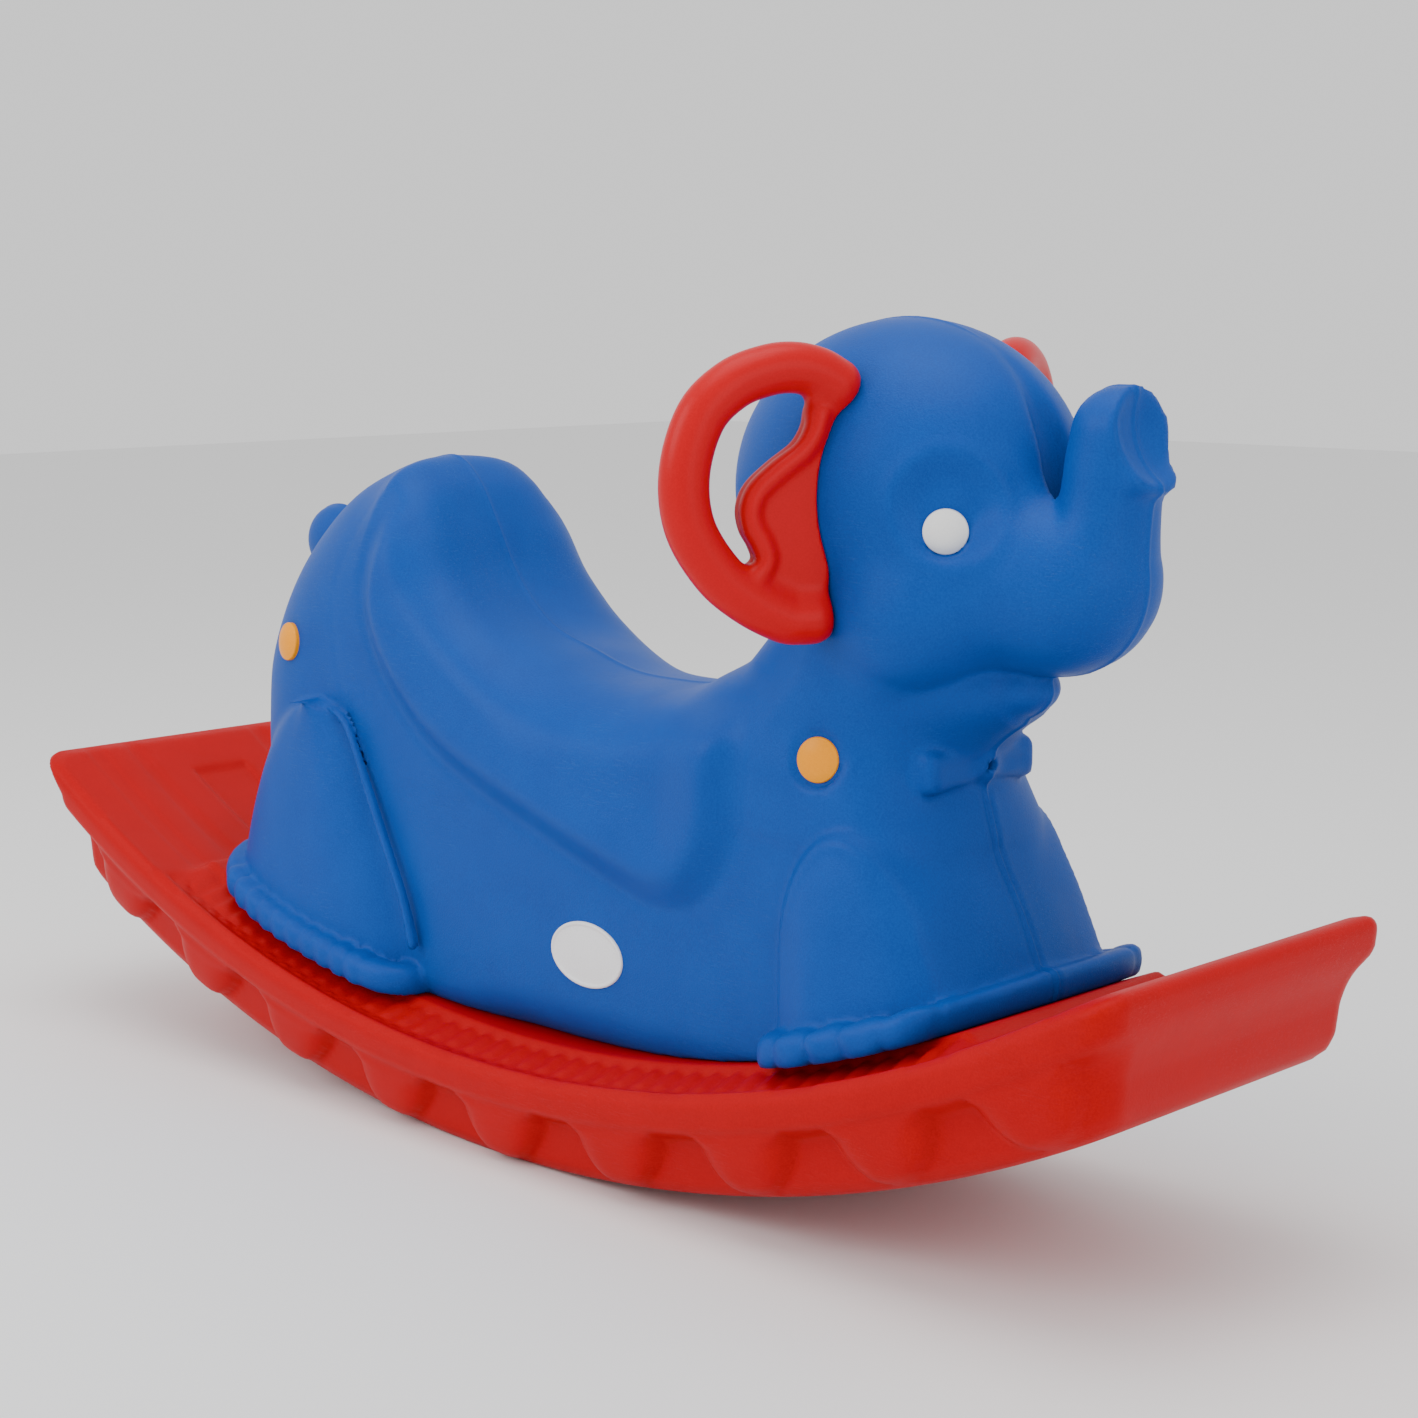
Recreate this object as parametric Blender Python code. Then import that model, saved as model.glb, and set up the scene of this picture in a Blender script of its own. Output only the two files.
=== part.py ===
# Rocking elephant for a small child: a hollow moulded body bolted to a moulded rocker base.
# +X is forward, +Y is the elephant's left, +Z is up, and the origin is on the floor
# under the middle of the rocker.
import math

import bmesh
import bpy
from mathutils import Matrix, Vector

MM = 0.001
GAP = 0.3 * MM
FLATNESS = 0.001 * MM
MERGE_DEGREES = 1.3
EAR_MERGE_DEGREES = 1.4
SHARP_DEGREES = 35

# Rocker base: lengths over the rim band, heights measured from the underside along the radius.
BASE_LENGTH = 1010 * MM
BASE_WIDTH = 264 * MM
ROCKER_RADIUS = 1021 * MM
RIM_HEIGHT = 66 * MM
BAND_HEIGHT = 26 * MM
SKIRT_INSET = 16 * MM
REAR_LEAN = 18 * MM
BASE_CORNER_RADIUS = 18 * MM
LAND_HALF_LENGTH = 58 * MM
BASE_STATIONS = 34
CORNER_STEPS = 3
DECK_STATIONS = 28

# Scalloped skirt: half-domes that hang under the rim band.
LOBE_COUNT = 9
LOBE_PITCH = 106 * MM
LOBE_SHIFT = 24 * MM
LOBE_WIDTH = 84 * MM
LOBE_DROP = 37 * MM
LOBE_SPREAD = 14 * MM

# Raised deck under the body and its ribbed footrests.
PLINTH_HEIGHT = 9 * MM
PLINTH_WIDTH = 176 * MM
CURB_HEIGHT = 3 * MM
FOOTREST_WIDTH = 34 * MM
DECK_MARGIN = 20 * MM
RIB_COUNT = 30
RIB_PITCH = 17.7 * MM
GROOVE_WIDTH = 9.5 * MM
GROOVE_LENGTH = 27 * MM
GROOVE_DEPTH = 2 * MM

# Shallow panel behind the body.
PANEL_REAR = -455 * MM
PANEL_LENGTH = 88 * MM
PANEL_WIDTH = 48 * MM
PANEL_DEPTH = 2 * MM

# Body flanks and the roundness of the rump, the seat and the chest.
BODY_HALF_WIDTH = 84 * MM
FLANK_DRAFT = 0.02
RUMP_ROUND = 80 * MM
BACKREST_ROUND = 28 * MM
SEAT_ROUND = 46 * MM
CHEST_ROUND = 36 * MM
BODY_REAR = -325 * MM
BODY_FRONT = 366 * MM
DECK_REAR = BODY_REAR - DECK_MARGIN
DECK_FRONT = BODY_FRONT + DECK_MARGIN
RUMP_TOP = 436 * MM
SEAT_LOW = 298 * MM
SEAT_SCOOP_HALF = 64 * MM
SEAT_SCOOP_DEPTH = 11 * MM
SEAT_SCOOP_RISE = 20 * MM

# Padded saddle that stands out from the seat and the flanks.
SADDLE_RELIEF = 6 * MM
SADDLE_LOW = 197 * MM

# Head, muzzle and trunk.
HEAD_CENTRE = Vector((258, 0, 435)) * MM
HEAD_RADII = Vector((112, 88, 100)) * MM
CHEEK_CENTRE = HEAD_CENTRE + Vector((42, 30, -50)) * MM
CHEEK_RADII = Vector((60, 48, 52)) * MM
TRUNK_ROOT_HALF = 61
TRUNK_TIP_HALF = 31
TRUNK_TIP = Vector((147, 0, 68)) * MM
TRUNK_DISH = Vector((181, 0, 31)) * MM
TRUNK_DISH_RADII = Vector((24, 20, 30)) * MM
TRUNK_SIDES = 16
LIP_PLACE = HEAD_CENTRE + Vector((64, 0, -105)) * MM
LIP_RADII = Vector((41, 44, 15)) * MM
TAIL_PLACE = Vector((-289, 0, 367)) * MM
TAIL_RADII = Vector((32, 16, 24)) * MM

# Legs: domed lofts that swell from the flanks, each on a rounded foot rim.
FRONT_LEG_CENTRE = 301 * MM
FRONT_LEG_HALF_LENGTH = 64 * MM
FRONT_LEG_TOP = 254 * MM
FRONT_LEG_LEAN = -20 * MM
REAR_LEG_CENTRE = -212 * MM
REAR_LEG_HALF_LENGTH = 113 * MM
REAR_LEG_TOP = 270 * MM
REAR_LEG_LEAN = 4 * MM
LEG_ROOT = 40 * MM
LEG_FOOT_REACH = 103 * MM
LEG_TOP_REACH = 88 * MM
LEG_SQUARENESS = 3.2
LEG_LEVELS = 6
LEG_SIDES = 18
FOOT_RIM_RADIUS = 11 * MM
TOE_SWELL = 2.2 * MM
TOE_PITCH = 26 * MM

# Ears: swept loops with a lobed web, tongued into the head.
EAR_SWEEP = math.radians(26)
EAR_ROOT = Vector((7, 7, 0)) * MM
EAR_TUBE_RADIUS = 14.2 * MM
EAR_WEB_THICKNESS = 15 * MM
EAR_TONGUE_THICKNESS = 12 * MM
EAR_TONGUE_DEPTH = 16 * MM
EAR_TONGUE_HEIGHT = 96 * MM

# Push-in plugs: white eyes and orange caps share one turned shape.
EYE_DIAMETER = 29 * MM
CAP_DIAMETER = 29 * MM
PLUG_DOME = 5 * MM
PLUG_RIM = 1.6 * MM
PLUG_SHANK_DIAMETER = 11 * MM
PLUG_SHANK_LENGTH = 15 * MM
PLUG_SIDES = 12
EYE_DISH_SIDES = 16
FRONT_CAP_PLACE = Vector((255, 284)) * MM
FRONT_CAP_OUTWARD = Vector((0.26, 0.96, 0.12))
REAR_CAP_PLACE = Vector((-249, 306)) * MM
EYE_ALONG = 80 * MM
EYE_DROP = 8 * MM
EYE_IN_DISH = Vector((-1, 0, -9)) * MM
EYE_DISH_RADIUS = 31 * MM
EYE_DISH_DEPTH = 5 * MM
EYE_DISH_CURVE = 900 * MM
RIM_MARGIN = 9 * MM

# Bare oval plate on the right flank.
BADGE_LENGTH = 66 * MM
BADGE_HEIGHT = 42 * MM
BADGE_THICKNESS = 2.4 * MM
BADGE_SEAT = 1.2 * MM
BADGE_PLACE = Vector((67, 137)) * MM

# Bolts that come up through the base into threaded inserts in the feet.
BOLT_DIAMETER = 8 * MM
BOLT_HEAD_ACROSS = 13 * MM
BOLT_HEAD_HEIGHT = 5.5 * MM
BOLT_GRIP = 22 * MM
BOLT_ACROSS = 50 * MM
BOLT_FRONT = 282 * MM
BOLT_REAR = -212 * MM
WASHER_DIAMETER = 20 * MM
WASHER_THICKNESS = 1.6 * MM
INSERT_DIAMETER = 14 * MM
INSERT_FLANGE_DIAMETER = 18 * MM
INSERT_FLANGE_THICKNESS = 2 * MM
INSERT_LENGTH = 24 * MM
WELL_DIAMETER = 24 * MM
FASTENER_SIDES = 10

HALF_LENGTH = BASE_LENGTH / 2
HALF_WIDTH = BASE_WIDTH / 2
RIM_RADIUS = ROCKER_RADIUS - RIM_HEIGHT
LAND_SAG = ROCKER_RADIUS - math.sqrt(ROCKER_RADIUS**2 - LAND_HALF_LENGTH**2)
ROCKER_CENTRE_Z = ROCKER_RADIUS - LAND_SAG
DECK_HEIGHT = RIM_HEIGHT + PLINTH_HEIGHT


def clear_scene():
    for obj in list(bpy.data.objects):
        bpy.data.objects.remove(obj)


def material(name, colour, roughness, metallic=0.0):
    mat = bpy.data.materials.new(name)
    mat.use_nodes = True
    shader = mat.node_tree.nodes["Principled BSDF"]
    shader.inputs["Base Color"].default_value = (*colour, 1.0)
    shader.inputs["Roughness"].default_value = roughness
    shader.inputs["Metallic"].default_value = metallic
    return mat


# Catmull-Rom curve through the given points.
def spline(points, steps, closed=False):
    points = [Vector(p) for p in points]
    if closed:
        padded = [points[-1]] + points + [points[0], points[1]]
        spans = len(points)
    else:
        padded = [2 * points[0] - points[1]] + points + [2 * points[-1] - points[-2]]
        spans = len(points) - 1
    curve = []
    for i in range(spans):
        a, b, c, d = padded[i:i + 4]
        for step in range(steps):
            t = step / steps
            curve.append(0.5 * (2 * b + (c - a) * t + (2 * a - 5 * b + 4 * c - d) * t**2
                                + (3 * b - a - 3 * c + d) * t**3))
    if not closed:
        curve.append(points[-1])
    return curve


def out_of_plane(face):
    centre = face.calc_center_median()
    return max(abs((v.co - centre).dot(face.normal)) for v in face.verts)


# Closed mesh facing out; faces that bend out of their plane are split into triangles.
def mesh_object(name, verts, faces):
    mesh = bpy.data.meshes.new(name)
    mesh.from_pydata([tuple(v) for v in verts], [], faces)
    shell = bmesh.new()
    shell.from_mesh(mesh)
    bmesh.ops.recalc_face_normals(shell, faces=shell.faces)
    bmesh.ops.triangulate(shell, faces=[f for f in shell.faces if out_of_plane(f) > FLATNESS])
    shell.to_mesh(mesh)
    shell.free()
    obj = bpy.data.objects.new(name, mesh)
    bpy.context.collection.objects.link(obj)
    return obj


# Skin over closed rings of equal count; each end is a flat face, or a fan to a tip point.
def loft(name, rings, first_tip=None, last_tip=None):
    count = len(rings[0])
    verts = [p for ring in rings for p in ring]
    faces = []
    for i in range(len(rings) - 1):
        low = i * count
        high = low + count
        for j in range(count):
            k = (j + 1) % count
            faces.append((low + j, low + k, high + k, high + j))
    for start, tip in ((0, first_tip), ((len(rings) - 1) * count, last_tip)):
        ring = [start + j for j in range(count)]
        if tip is None:
            faces.append(ring)
        else:
            verts.append(tip)
            centre = len(verts) - 1
            faces.extend((ring[j], ring[(j + 1) % count], centre) for j in range(count))
    return mesh_object(name, verts, faces)


# Round tube along a path, its radius given point by point, with domed ends.
def sweep(name, path, radii, sides, flatten=1.0, across=Vector((0, 1, 0))):
    rings = []
    for i, point in enumerate(path):
        ahead = path[min(i + 1, len(path) - 1)]
        behind = path[max(i - 1, 0)]
        along = (ahead - behind).normalized()
        side = (across - across.dot(along) * along).normalized()
        up = along.cross(side)
        ring = []
        for j in range(sides):
            turn = 2 * math.pi * (j + 0.5) / sides
            ring.append(point + radii[i] * (math.cos(turn) * side + flatten * math.sin(turn) * up))
        rings.append(ring)
    first = path[0] + (path[0] - path[1]).normalized() * radii[0] * 0.4
    last = path[-1] + (path[-1] - path[-2]).normalized() * radii[-1] * 0.4
    return loft(name, rings, first, last)


def ellipsoid(name, centre, radii, segments=20, rings=12):
    shell = bmesh.new()
    bmesh.ops.create_uvsphere(shell, u_segments=segments, v_segments=rings, radius=1.0)
    bmesh.ops.scale(shell, vec=radii, verts=shell.verts)
    bmesh.ops.translate(shell, vec=centre, verts=shell.verts)
    bmesh.ops.triangulate(shell, faces=shell.faces)
    mesh = bpy.data.meshes.new(name)
    shell.to_mesh(mesh)
    shell.free()
    obj = bpy.data.objects.new(name, mesh)
    bpy.context.collection.objects.link(obj)
    return obj


# Turned solid from a profile of (radius, height) points, closed on its axis at both ends.
def turned(name, profile, sides, frame):
    rings = []
    for radius, height in profile[1:-1]:
        rings.append([frame @ Vector((radius * math.cos(2 * math.pi * j / sides),
                                      radius * math.sin(2 * math.pi * j / sides), height))
                      for j in range(sides)])
    first = frame @ Vector((0, 0, profile[0][1]))
    last = frame @ Vector((0, 0, profile[-1][1]))
    return loft(name, rings, first, last)


# Ring-shaped solid from a closed profile of (radius, height) points.
def turned_ring(name, profile, sides, frame):
    verts = []
    faces = []
    count = len(profile)
    for j in range(sides):
        turn = 2 * math.pi * j / sides
        verts.extend(frame @ Vector((r * math.cos(turn), r * math.sin(turn), h)) for r, h in profile)
    for j in range(sides):
        near = j * count
        far = (j + 1) % sides * count
        for i in range(count):
            k = (i + 1) % count
            faces.append((near + i, near + k, far + k, far + i))
    return mesh_object(name, verts, faces)


# Flat outline pushed through from one height to the other, in a frame of its own.
def extruded(name, outline, low, high, frame):
    rings = [[frame @ Vector((p[0], p[1], height)) for p in outline] for height in (low, high)]
    return loft(name, rings)


def combine(target, other, operation):
    modifier = target.modifiers.new("combine", "BOOLEAN")
    modifier.operation = operation
    modifier.solver = "EXACT"
    modifier.object = other
    graph = bpy.context.evaluated_depsgraph_get()
    result = bpy.data.meshes.new_from_object(target.evaluated_get(graph))
    target.modifiers.clear()
    target.data = result
    bpy.data.objects.remove(other)
    return target


# Merges facets that lie within a degree of one plane, then gives the piece its material.
def finish(obj, mat, merge_degrees=0.0, sharp_degrees=SHARP_DEGREES):
    shell = bmesh.new()
    shell.from_mesh(obj.data)
    if merge_degrees:
        bmesh.ops.dissolve_limit(shell, angle_limit=math.radians(merge_degrees), verts=shell.verts,
                                 edges=shell.edges)
    bmesh.ops.triangulate(shell, faces=shell.faces)
    bmesh.ops.remove_doubles(shell, verts=shell.verts, dist=1e-6)
    shell.to_mesh(obj.data)
    shell.free()
    obj.data.materials.clear()
    obj.data.materials.append(mat)
    obj.data.shade_smooth()
    obj.data.set_sharp_from_angle(angle=math.radians(sharp_degrees))
    return obj


# Frame with its Z axis along the given direction, at the given place.
def aimed(place, direction):
    return Matrix.Translation(place) @ direction.to_track_quat("Z", "Y").to_matrix().to_4x4()


# Height of the rocker's layer h over its underside, above the floor at x.
def layer_z(x, height):
    return ROCKER_CENTRE_Z - math.sqrt((ROCKER_RADIUS - height)**2 - x * x)


# Bends a flat point, at length s along the rim and height h, round the rocking centre.
def bent(s, y, height):
    angle = s / RIM_RADIUS
    radius = ROCKER_RADIUS - height
    z = ROCKER_CENTRE_Z - radius * math.cos(angle)
    return Vector((radius * math.sin(angle), y, max(z, 0.0)))


# Length along the rim of the place at x on the layer at height h.
def rim_length(x, height=RIM_HEIGHT):
    return RIM_RADIUS * math.asin(x / (ROCKER_RADIUS - height))


def bend(obj):
    for vertex in obj.data.vertices:
        vertex.co = bent(*vertex.co)
    return obj


# Rounded rectangle with its long sides divided, in flat coordinates.
def base_ring(height, inset, lean):
    half = HALF_WIDTH - inset
    corner = max(BASE_CORNER_RADIUS - inset, 4 * MM)
    front = HALF_LENGTH - inset - corner
    rear = -HALF_LENGTH + inset + lean * REAR_LEAN + corner
    right = []
    for i in range(BASE_STATIONS + 1):
        right.append((rear + (front - rear) * i / BASE_STATIONS, -half))
    for step in range(1, CORNER_STEPS + 1):
        turn = math.pi / 2 * step / CORNER_STEPS
        right.append((front + corner * math.sin(turn), -half + corner * (1 - math.cos(turn))))
    for step in range(CORNER_STEPS, 0, -1):
        turn = math.pi / 2 * step / CORNER_STEPS
        right.insert(0, (rear - corner * math.sin(turn), -half + corner * (1 - math.cos(turn))))
    right.sort(key=lambda p: p[0])
    left = [(x, -y) for x, y in reversed(right)]
    return [Vector((rim_length(x, height), y, height)) for x, y in right + left]


# Outer skin of the base, flat: underside, skirt, step out to the rim band and rounded rim.
def base_hull():
    band_low = RIM_HEIGHT - BAND_HEIGHT
    levels = (
        (0.0, SKIRT_INSET + 11 * MM, 1.0),
        (2.5 * MM, SKIRT_INSET + 5 * MM, 1.0),
        (9 * MM, SKIRT_INSET + 2 * MM, 1.0),
        (band_low - 3 * MM, SKIRT_INSET, 1.0),
        (band_low - 0.5 * MM, 4 * MM, 1.0),
        (band_low + 3.5 * MM, 0.0, 1.0),
        (RIM_HEIGHT - 7 * MM, 0.0, 0.0),
        (RIM_HEIGHT - 2 * MM, 1.5 * MM, 0.0),
        (RIM_HEIGHT, 5 * MM, 0.0),
    )
    rings = [base_ring(height, inset, lean) for height, inset, lean in levels]
    count = len(rings[0])
    verts = [p for ring in rings for p in ring]
    faces = []
    for i in range(len(rings) - 1):
        low = i * count
        for j in range(count):
            k = (j + 1) % count
            faces.append((low + j, low + k, low + count + k, low + count + j))
    for start in (0, (len(rings) - 1) * count):
        for j in range(count // 2 - 1):
            faces.append((start + j, start + j + 1, start + count - 2 - j, start + count - 1 - j))
    return mesh_object("rocker_base", verts, faces)


# Half-dome of the scalloped skirt, flat, on the side given by sign.
def lobe(s, sign):
    wall = HALF_WIDTH - SKIRT_INSET
    top = RIM_HEIGHT - BAND_HEIGHT + 4 * MM
    rings = []
    for level in (0.0, 0.45, 0.78, 0.96):
        width = LOBE_WIDTH / 2 * (1 - level**2.2)**(1 / 2.2)
        spread = LOBE_SPREAD * (1 - level**4)**0.5
        height = top - level * (LOBE_DROP + 4 * MM)
        ring = [Vector((s - width, sign * (wall - 9 * MM), height))]
        for step in range(7):
            u = math.sin(math.pi / 2 * (step - 3) / 3)
            bulge = spread * (1 - abs(u)**3)**0.6
            ring.append(Vector((s + width * u, sign * (wall + bulge - 2 * MM), height)))
        ring.append(Vector((s + width, sign * (wall - 9 * MM), height)))
        rings.append(ring)
    return loft("lobe", rings)


# Raised deck, flat: the plinth under the body, its curb and the sloped footrests.
def raised_deck():
    half = PLINTH_WIDTH / 2
    outer = half + FOOTREST_WIDTH
    footrest_rise = PLINTH_HEIGHT - CURB_HEIGHT
    slope = footrest_rise / FOOTREST_WIDTH
    buried = RIM_HEIGHT - 6 * MM
    start = rim_length(DECK_REAR)
    end = rim_length(DECK_FRONT)
    rings = []
    for i in range(DECK_STATIONS + 1):
        s = start + (end - start) * i / DECK_STATIONS
        sunk = 12 * MM if i in (0, DECK_STATIONS) else 0.0
        edge = outer + 4 * MM
        section = [(edge, RIM_HEIGHT - slope * 4 * MM), (half + 1 * MM, RIM_HEIGHT + footrest_rise),
                   (half, DECK_HEIGHT)]
        right = [Vector((s, -y, h - sunk)) for y, h in section]
        left = [Vector((s, y, h - sunk)) for y, h in reversed(section)]
        bottom = [Vector((s, edge, buried - sunk)), Vector((s, -edge, buried - sunk))]
        rings.append(right + left + bottom)
    return loft("raised_deck", rings)


# Grooves between the ribs of one footrest, as one cutter of separate blocks.
def footrest_grooves(sign):
    half = PLINTH_WIDTH / 2
    rise = PLINTH_HEIGHT - CURB_HEIGHT
    slope = rise / FOOTREST_WIDTH
    inner = half + (FOOTREST_WIDTH - GROOVE_LENGTH) / 2
    outer = inner + GROOVE_LENGTH
    verts = []
    faces = []
    for i in range(RIB_COUNT):
        s = (i - (RIB_COUNT - 1) / 2) * RIB_PITCH
        base = len(verts)
        for y in (inner, outer):
            surface = RIM_HEIGHT + rise - slope * (y - half)
            for height in (surface - GROOVE_DEPTH, surface + 6 * MM):
                flare = 1.2 * MM if height > surface else 0.0
                for side in (-1, 1):
                    verts.append((s + side * (GROOVE_WIDTH / 2 + flare), sign * y, height))
        for quad in ((0, 1, 3, 2), (4, 6, 7, 5), (0, 4, 5, 1), (2, 3, 7, 6), (0, 2, 6, 4), (1, 5, 7, 3)):
            faces.append(tuple(base + k for k in quad))
    return mesh_object("grooves", verts, faces)


# Block in flat coordinates.
def block(name, low, high):
    rings = [[Vector((x, low[1], z)) for x, z in ((low[0], low[2]), (high[0], low[2]),
                                                  (high[0], high[2]), (low[0], high[2]))],
             [Vector((x, high[1], z)) for x, z in ((low[0], low[2]), (high[0], low[2]),
                                                   (high[0], high[2]), (low[0], high[2]))]]
    return loft(name, rings)


# Frame of one base bolt: origin on the underside of the deck seat, Z along the radius inward.
def bolt_frame(x, y):
    s = rim_length(x, DECK_HEIGHT)
    inward = Vector((-math.sin(s / RIM_RADIUS), 0, math.cos(s / RIM_RADIUS)))
    seat = bent(s, y, DECK_HEIGHT - BOLT_GRIP)
    return aimed(seat, inward)


def bolt_places():
    for end, x in (("front", BOLT_FRONT), ("rear", BOLT_REAR)):
        for side, sign in (("left", 1), ("right", -1)):
            yield f"{end}_{side}", bolt_frame(x, sign * BOLT_ACROSS)


def make_base(mat):
    base = base_hull()
    for i in range(LOBE_COUNT):
        s = LOBE_SHIFT + (i - (LOBE_COUNT - 1) / 2) * LOBE_PITCH
        for sign in (-1, 1):
            combine(base, lobe(s, sign), "UNION")
    combine(base, raised_deck(), "UNION")
    for sign in (-1, 1):
        combine(base, footrest_grooves(sign), "DIFFERENCE")
    panel_start = rim_length(PANEL_REAR)
    panel = block("panel", (panel_start, -PANEL_WIDTH / 2, RIM_HEIGHT - PANEL_DEPTH),
                  (panel_start + PANEL_LENGTH, PANEL_WIDTH / 2, RIM_HEIGHT + 8 * MM))
    combine(base, panel, "DIFFERENCE")
    finish(base, mat)
    bend(base)
    for _, frame in bolt_places():
        well = turned("well", [(0, -90 * MM), (WELL_DIAMETER / 2, -90 * MM),
                               (WELL_DIAMETER / 2, 0), (BOLT_DIAMETER / 2 + 0.6 * MM, 0),
                               (BOLT_DIAMETER / 2 + 0.6 * MM, 40 * MM), (0, 40 * MM)], 16, frame)
        combine(base, well, "DIFFERENCE")
    return finish(base, mat, MERGE_DEGREES)


# Side view of the torso from the rear foot over the rump and the seat to the chest.
def torso_profile():
    low = layer_z(BODY_REAR, DECK_HEIGHT) - 25 * MM
    points = [(BODY_REAR, 215 * MM), (BODY_REAR, 248 * MM), (BODY_REAR + 4 * MM, 290 * MM),
              (BODY_REAR + 18 * MM, 327 * MM), (BODY_REAR + 39 * MM, 361 * MM),
              (-259 * MM, RUMP_TOP - 46 * MM), (-225 * MM, RUMP_TOP - 22 * MM),
              (-187 * MM, RUMP_TOP - 9 * MM), (-154 * MM, RUMP_TOP), (-127 * MM, RUMP_TOP - 9 * MM),
              (-107 * MM, RUMP_TOP - 39 * MM), (-88 * MM, SEAT_LOW + 67 * MM),
              (-63 * MM, SEAT_LOW + 42 * MM), (-27 * MM, SEAT_LOW + 20 * MM), (22 * MM, SEAT_LOW + 2 * MM),
              (75 * MM, SEAT_LOW), (109 * MM, SEAT_LOW + 4 * MM), (160 * MM, SEAT_LOW + 19 * MM),
              (230 * MM, 312 * MM), (285 * MM, 290 * MM), (316 * MM, 254 * MM), (330 * MM, 224 * MM),
              (345 * MM, 198 * MM), (356 * MM, 174 * MM), (BODY_FRONT - 1.5 * MM, 152 * MM),
              (BODY_FRONT, 138 * MM)]
    top = [Vector(p) for p in spline(points, 4)]
    return [Vector((BODY_REAR, low))] + top + [Vector((BODY_FRONT, low))]


def distance_to_polyline(point, line):
    nearest = 1.0
    for a, b in zip(line, line[1:]):
        run = b - a
        t = max(0.0, min(1.0, (point - a).dot(run) / run.length_squared))
        nearest = min(nearest, (point - a - t * run).length)
    return nearest


def smooth_step(low, high, value):
    t = max(0.0, min(1.0, (value - low) / (high - low)))
    return t * t * (3 - 2 * t)


TORSO_PROFILE = torso_profile()


# Half-width of the torso at a place in the side view: flat flanks that round over to the profile.
def torso_half_width(x, z, extra=0.0):
    rear = smooth_step(-105 * MM, -235 * MM, x)
    front = smooth_step(190 * MM, 300 * MM, x)
    seat = smooth_step(-70 * MM, 10 * MM, x) * (1 - front)
    turn = BACKREST_ROUND + (RUMP_ROUND - BACKREST_ROUND) * rear
    turn += (SEAT_ROUND - BACKREST_ROUND) * seat + (CHEST_ROUND - BACKREST_ROUND) * front
    power = 2.4 - 0.25 * rear + 0.1 * front
    half = BODY_HALF_WIDTH + extra - FLANK_DRAFT * (z - 100 * MM)
    half -= 10 * MM * smooth_step(250 * MM, 360 * MM, x)
    depth = distance_to_polyline(Vector((x, z)), TORSO_PROFILE)
    rest = max(0.0, 1 - depth / turn)
    return half * (1 - rest**power)**(1 / power)


def profile_top(x):
    for a, b in zip(TORSO_PROFILE, TORSO_PROFILE[1:]):
        if a.x <= x <= b.x and b.x > a.x:
            return a.y + (b.y - a.y) * (x - a.x) / (b.x - a.x)
    return TORSO_PROFILE[-2].y


def body_floor(x):
    return layer_z(x, DECK_HEIGHT) + GAP


# Upright section of the torso at x: up the right flank, over the crown and down the left.
def torso_section(x, extra=0.0, lift=0.0):
    low = body_floor(x) - 20 * MM
    top = profile_top(x)
    right = []
    for share in (0.0, 0.3, 0.52, 0.68, 0.8, 0.885, 0.945, 0.982):
        z = low + (top - low) * share
        right.append(Vector((x, -torso_half_width(x, z, extra), z + lift * share)))
    crown = [Vector((x, 0, top + lift))]
    left = [Vector((x, -p.y, p.z)) for p in reversed(right)]
    return right + crown + left


def torso_stations(first, last, step):
    ends = (1 * MM, 4 * MM, 9 * MM, 17 * MM, 28 * MM)
    span = last - first - 2 * ends[-1]
    count = max(2, round(span / step))
    middle = [first + ends[-1] + span * i / count for i in range(1, count)]
    return [first + e for e in ends] + middle + [last - e for e in reversed(ends)]


def torso():
    rings = [torso_section(x) for x in torso_stations(BODY_REAR, BODY_FRONT, 24 * MM)]
    return loft("torso", rings)


# Saddle: the torso made wider and a little higher, inside the saddle's side outline.
def saddle():
    span = torso_stations(-262 * MM, 240 * MM, 24 * MM)
    pad = loft("saddle", [torso_section(x, SADDLE_RELIEF, 1.2 * MM) for x in span])
    outline = [(-240, 470), (-205, 436), (-172, 412), (-150, 386), (-143, 355), (-140, 330),
               (-125, 303), (-87, 270), (-40, 248), (10, 230), (55, 214), (97, 202)]
    curve = [Vector((x * MM, z * MM)) for x, z in outline]
    front = [(125, 0), (150, 6), (166, 24), (172, 50), (175, 82), (184, 112), (205, 160)]
    curve += [Vector((x * MM, SADDLE_LOW + z * MM)) for x, z in front]
    line = spline(curve, 3)
    reach = BODY_HALF_WIDTH + SADDLE_RELIEF + 20 * MM
    rings = [[Vector((p[0], y, p[1])) for p in line] for y in (-reach, reach)]
    combine(pad, loft("outline", rings), "INTERSECT")
    return pad


# Cutter for the dished backrest: a flat ellipse swept over the rump and down to the seat.
def seat_scoop():
    along = [p for p in TORSO_PROFILE if -168 * MM < p.x < 5 * MM][::2]
    rings = []
    for i, point in enumerate(along):
        ahead = along[min(i + 1, len(along) - 1)]
        behind = along[max(i - 1, 0)]
        run = (ahead - behind).normalized()
        normal = Vector((-run.y, run.x))
        fade = min(1.0, i / 4, (len(along) - 1 - i) / 6)
        lift = (SEAT_SCOOP_RISE - SEAT_SCOOP_DEPTH * fade) + 0.4 * MM
        ring = []
        for j in range(14):
            turn = 2 * math.pi * j / 14
            offset = lift + SEAT_SCOOP_RISE * math.sin(turn)
            ring.append(Vector((point.x + normal.x * offset, SEAT_SCOOP_HALF * math.cos(turn),
                                point.y + normal.y * offset)))
        rings.append(ring)
    return loft("scoop", rings)


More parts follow.
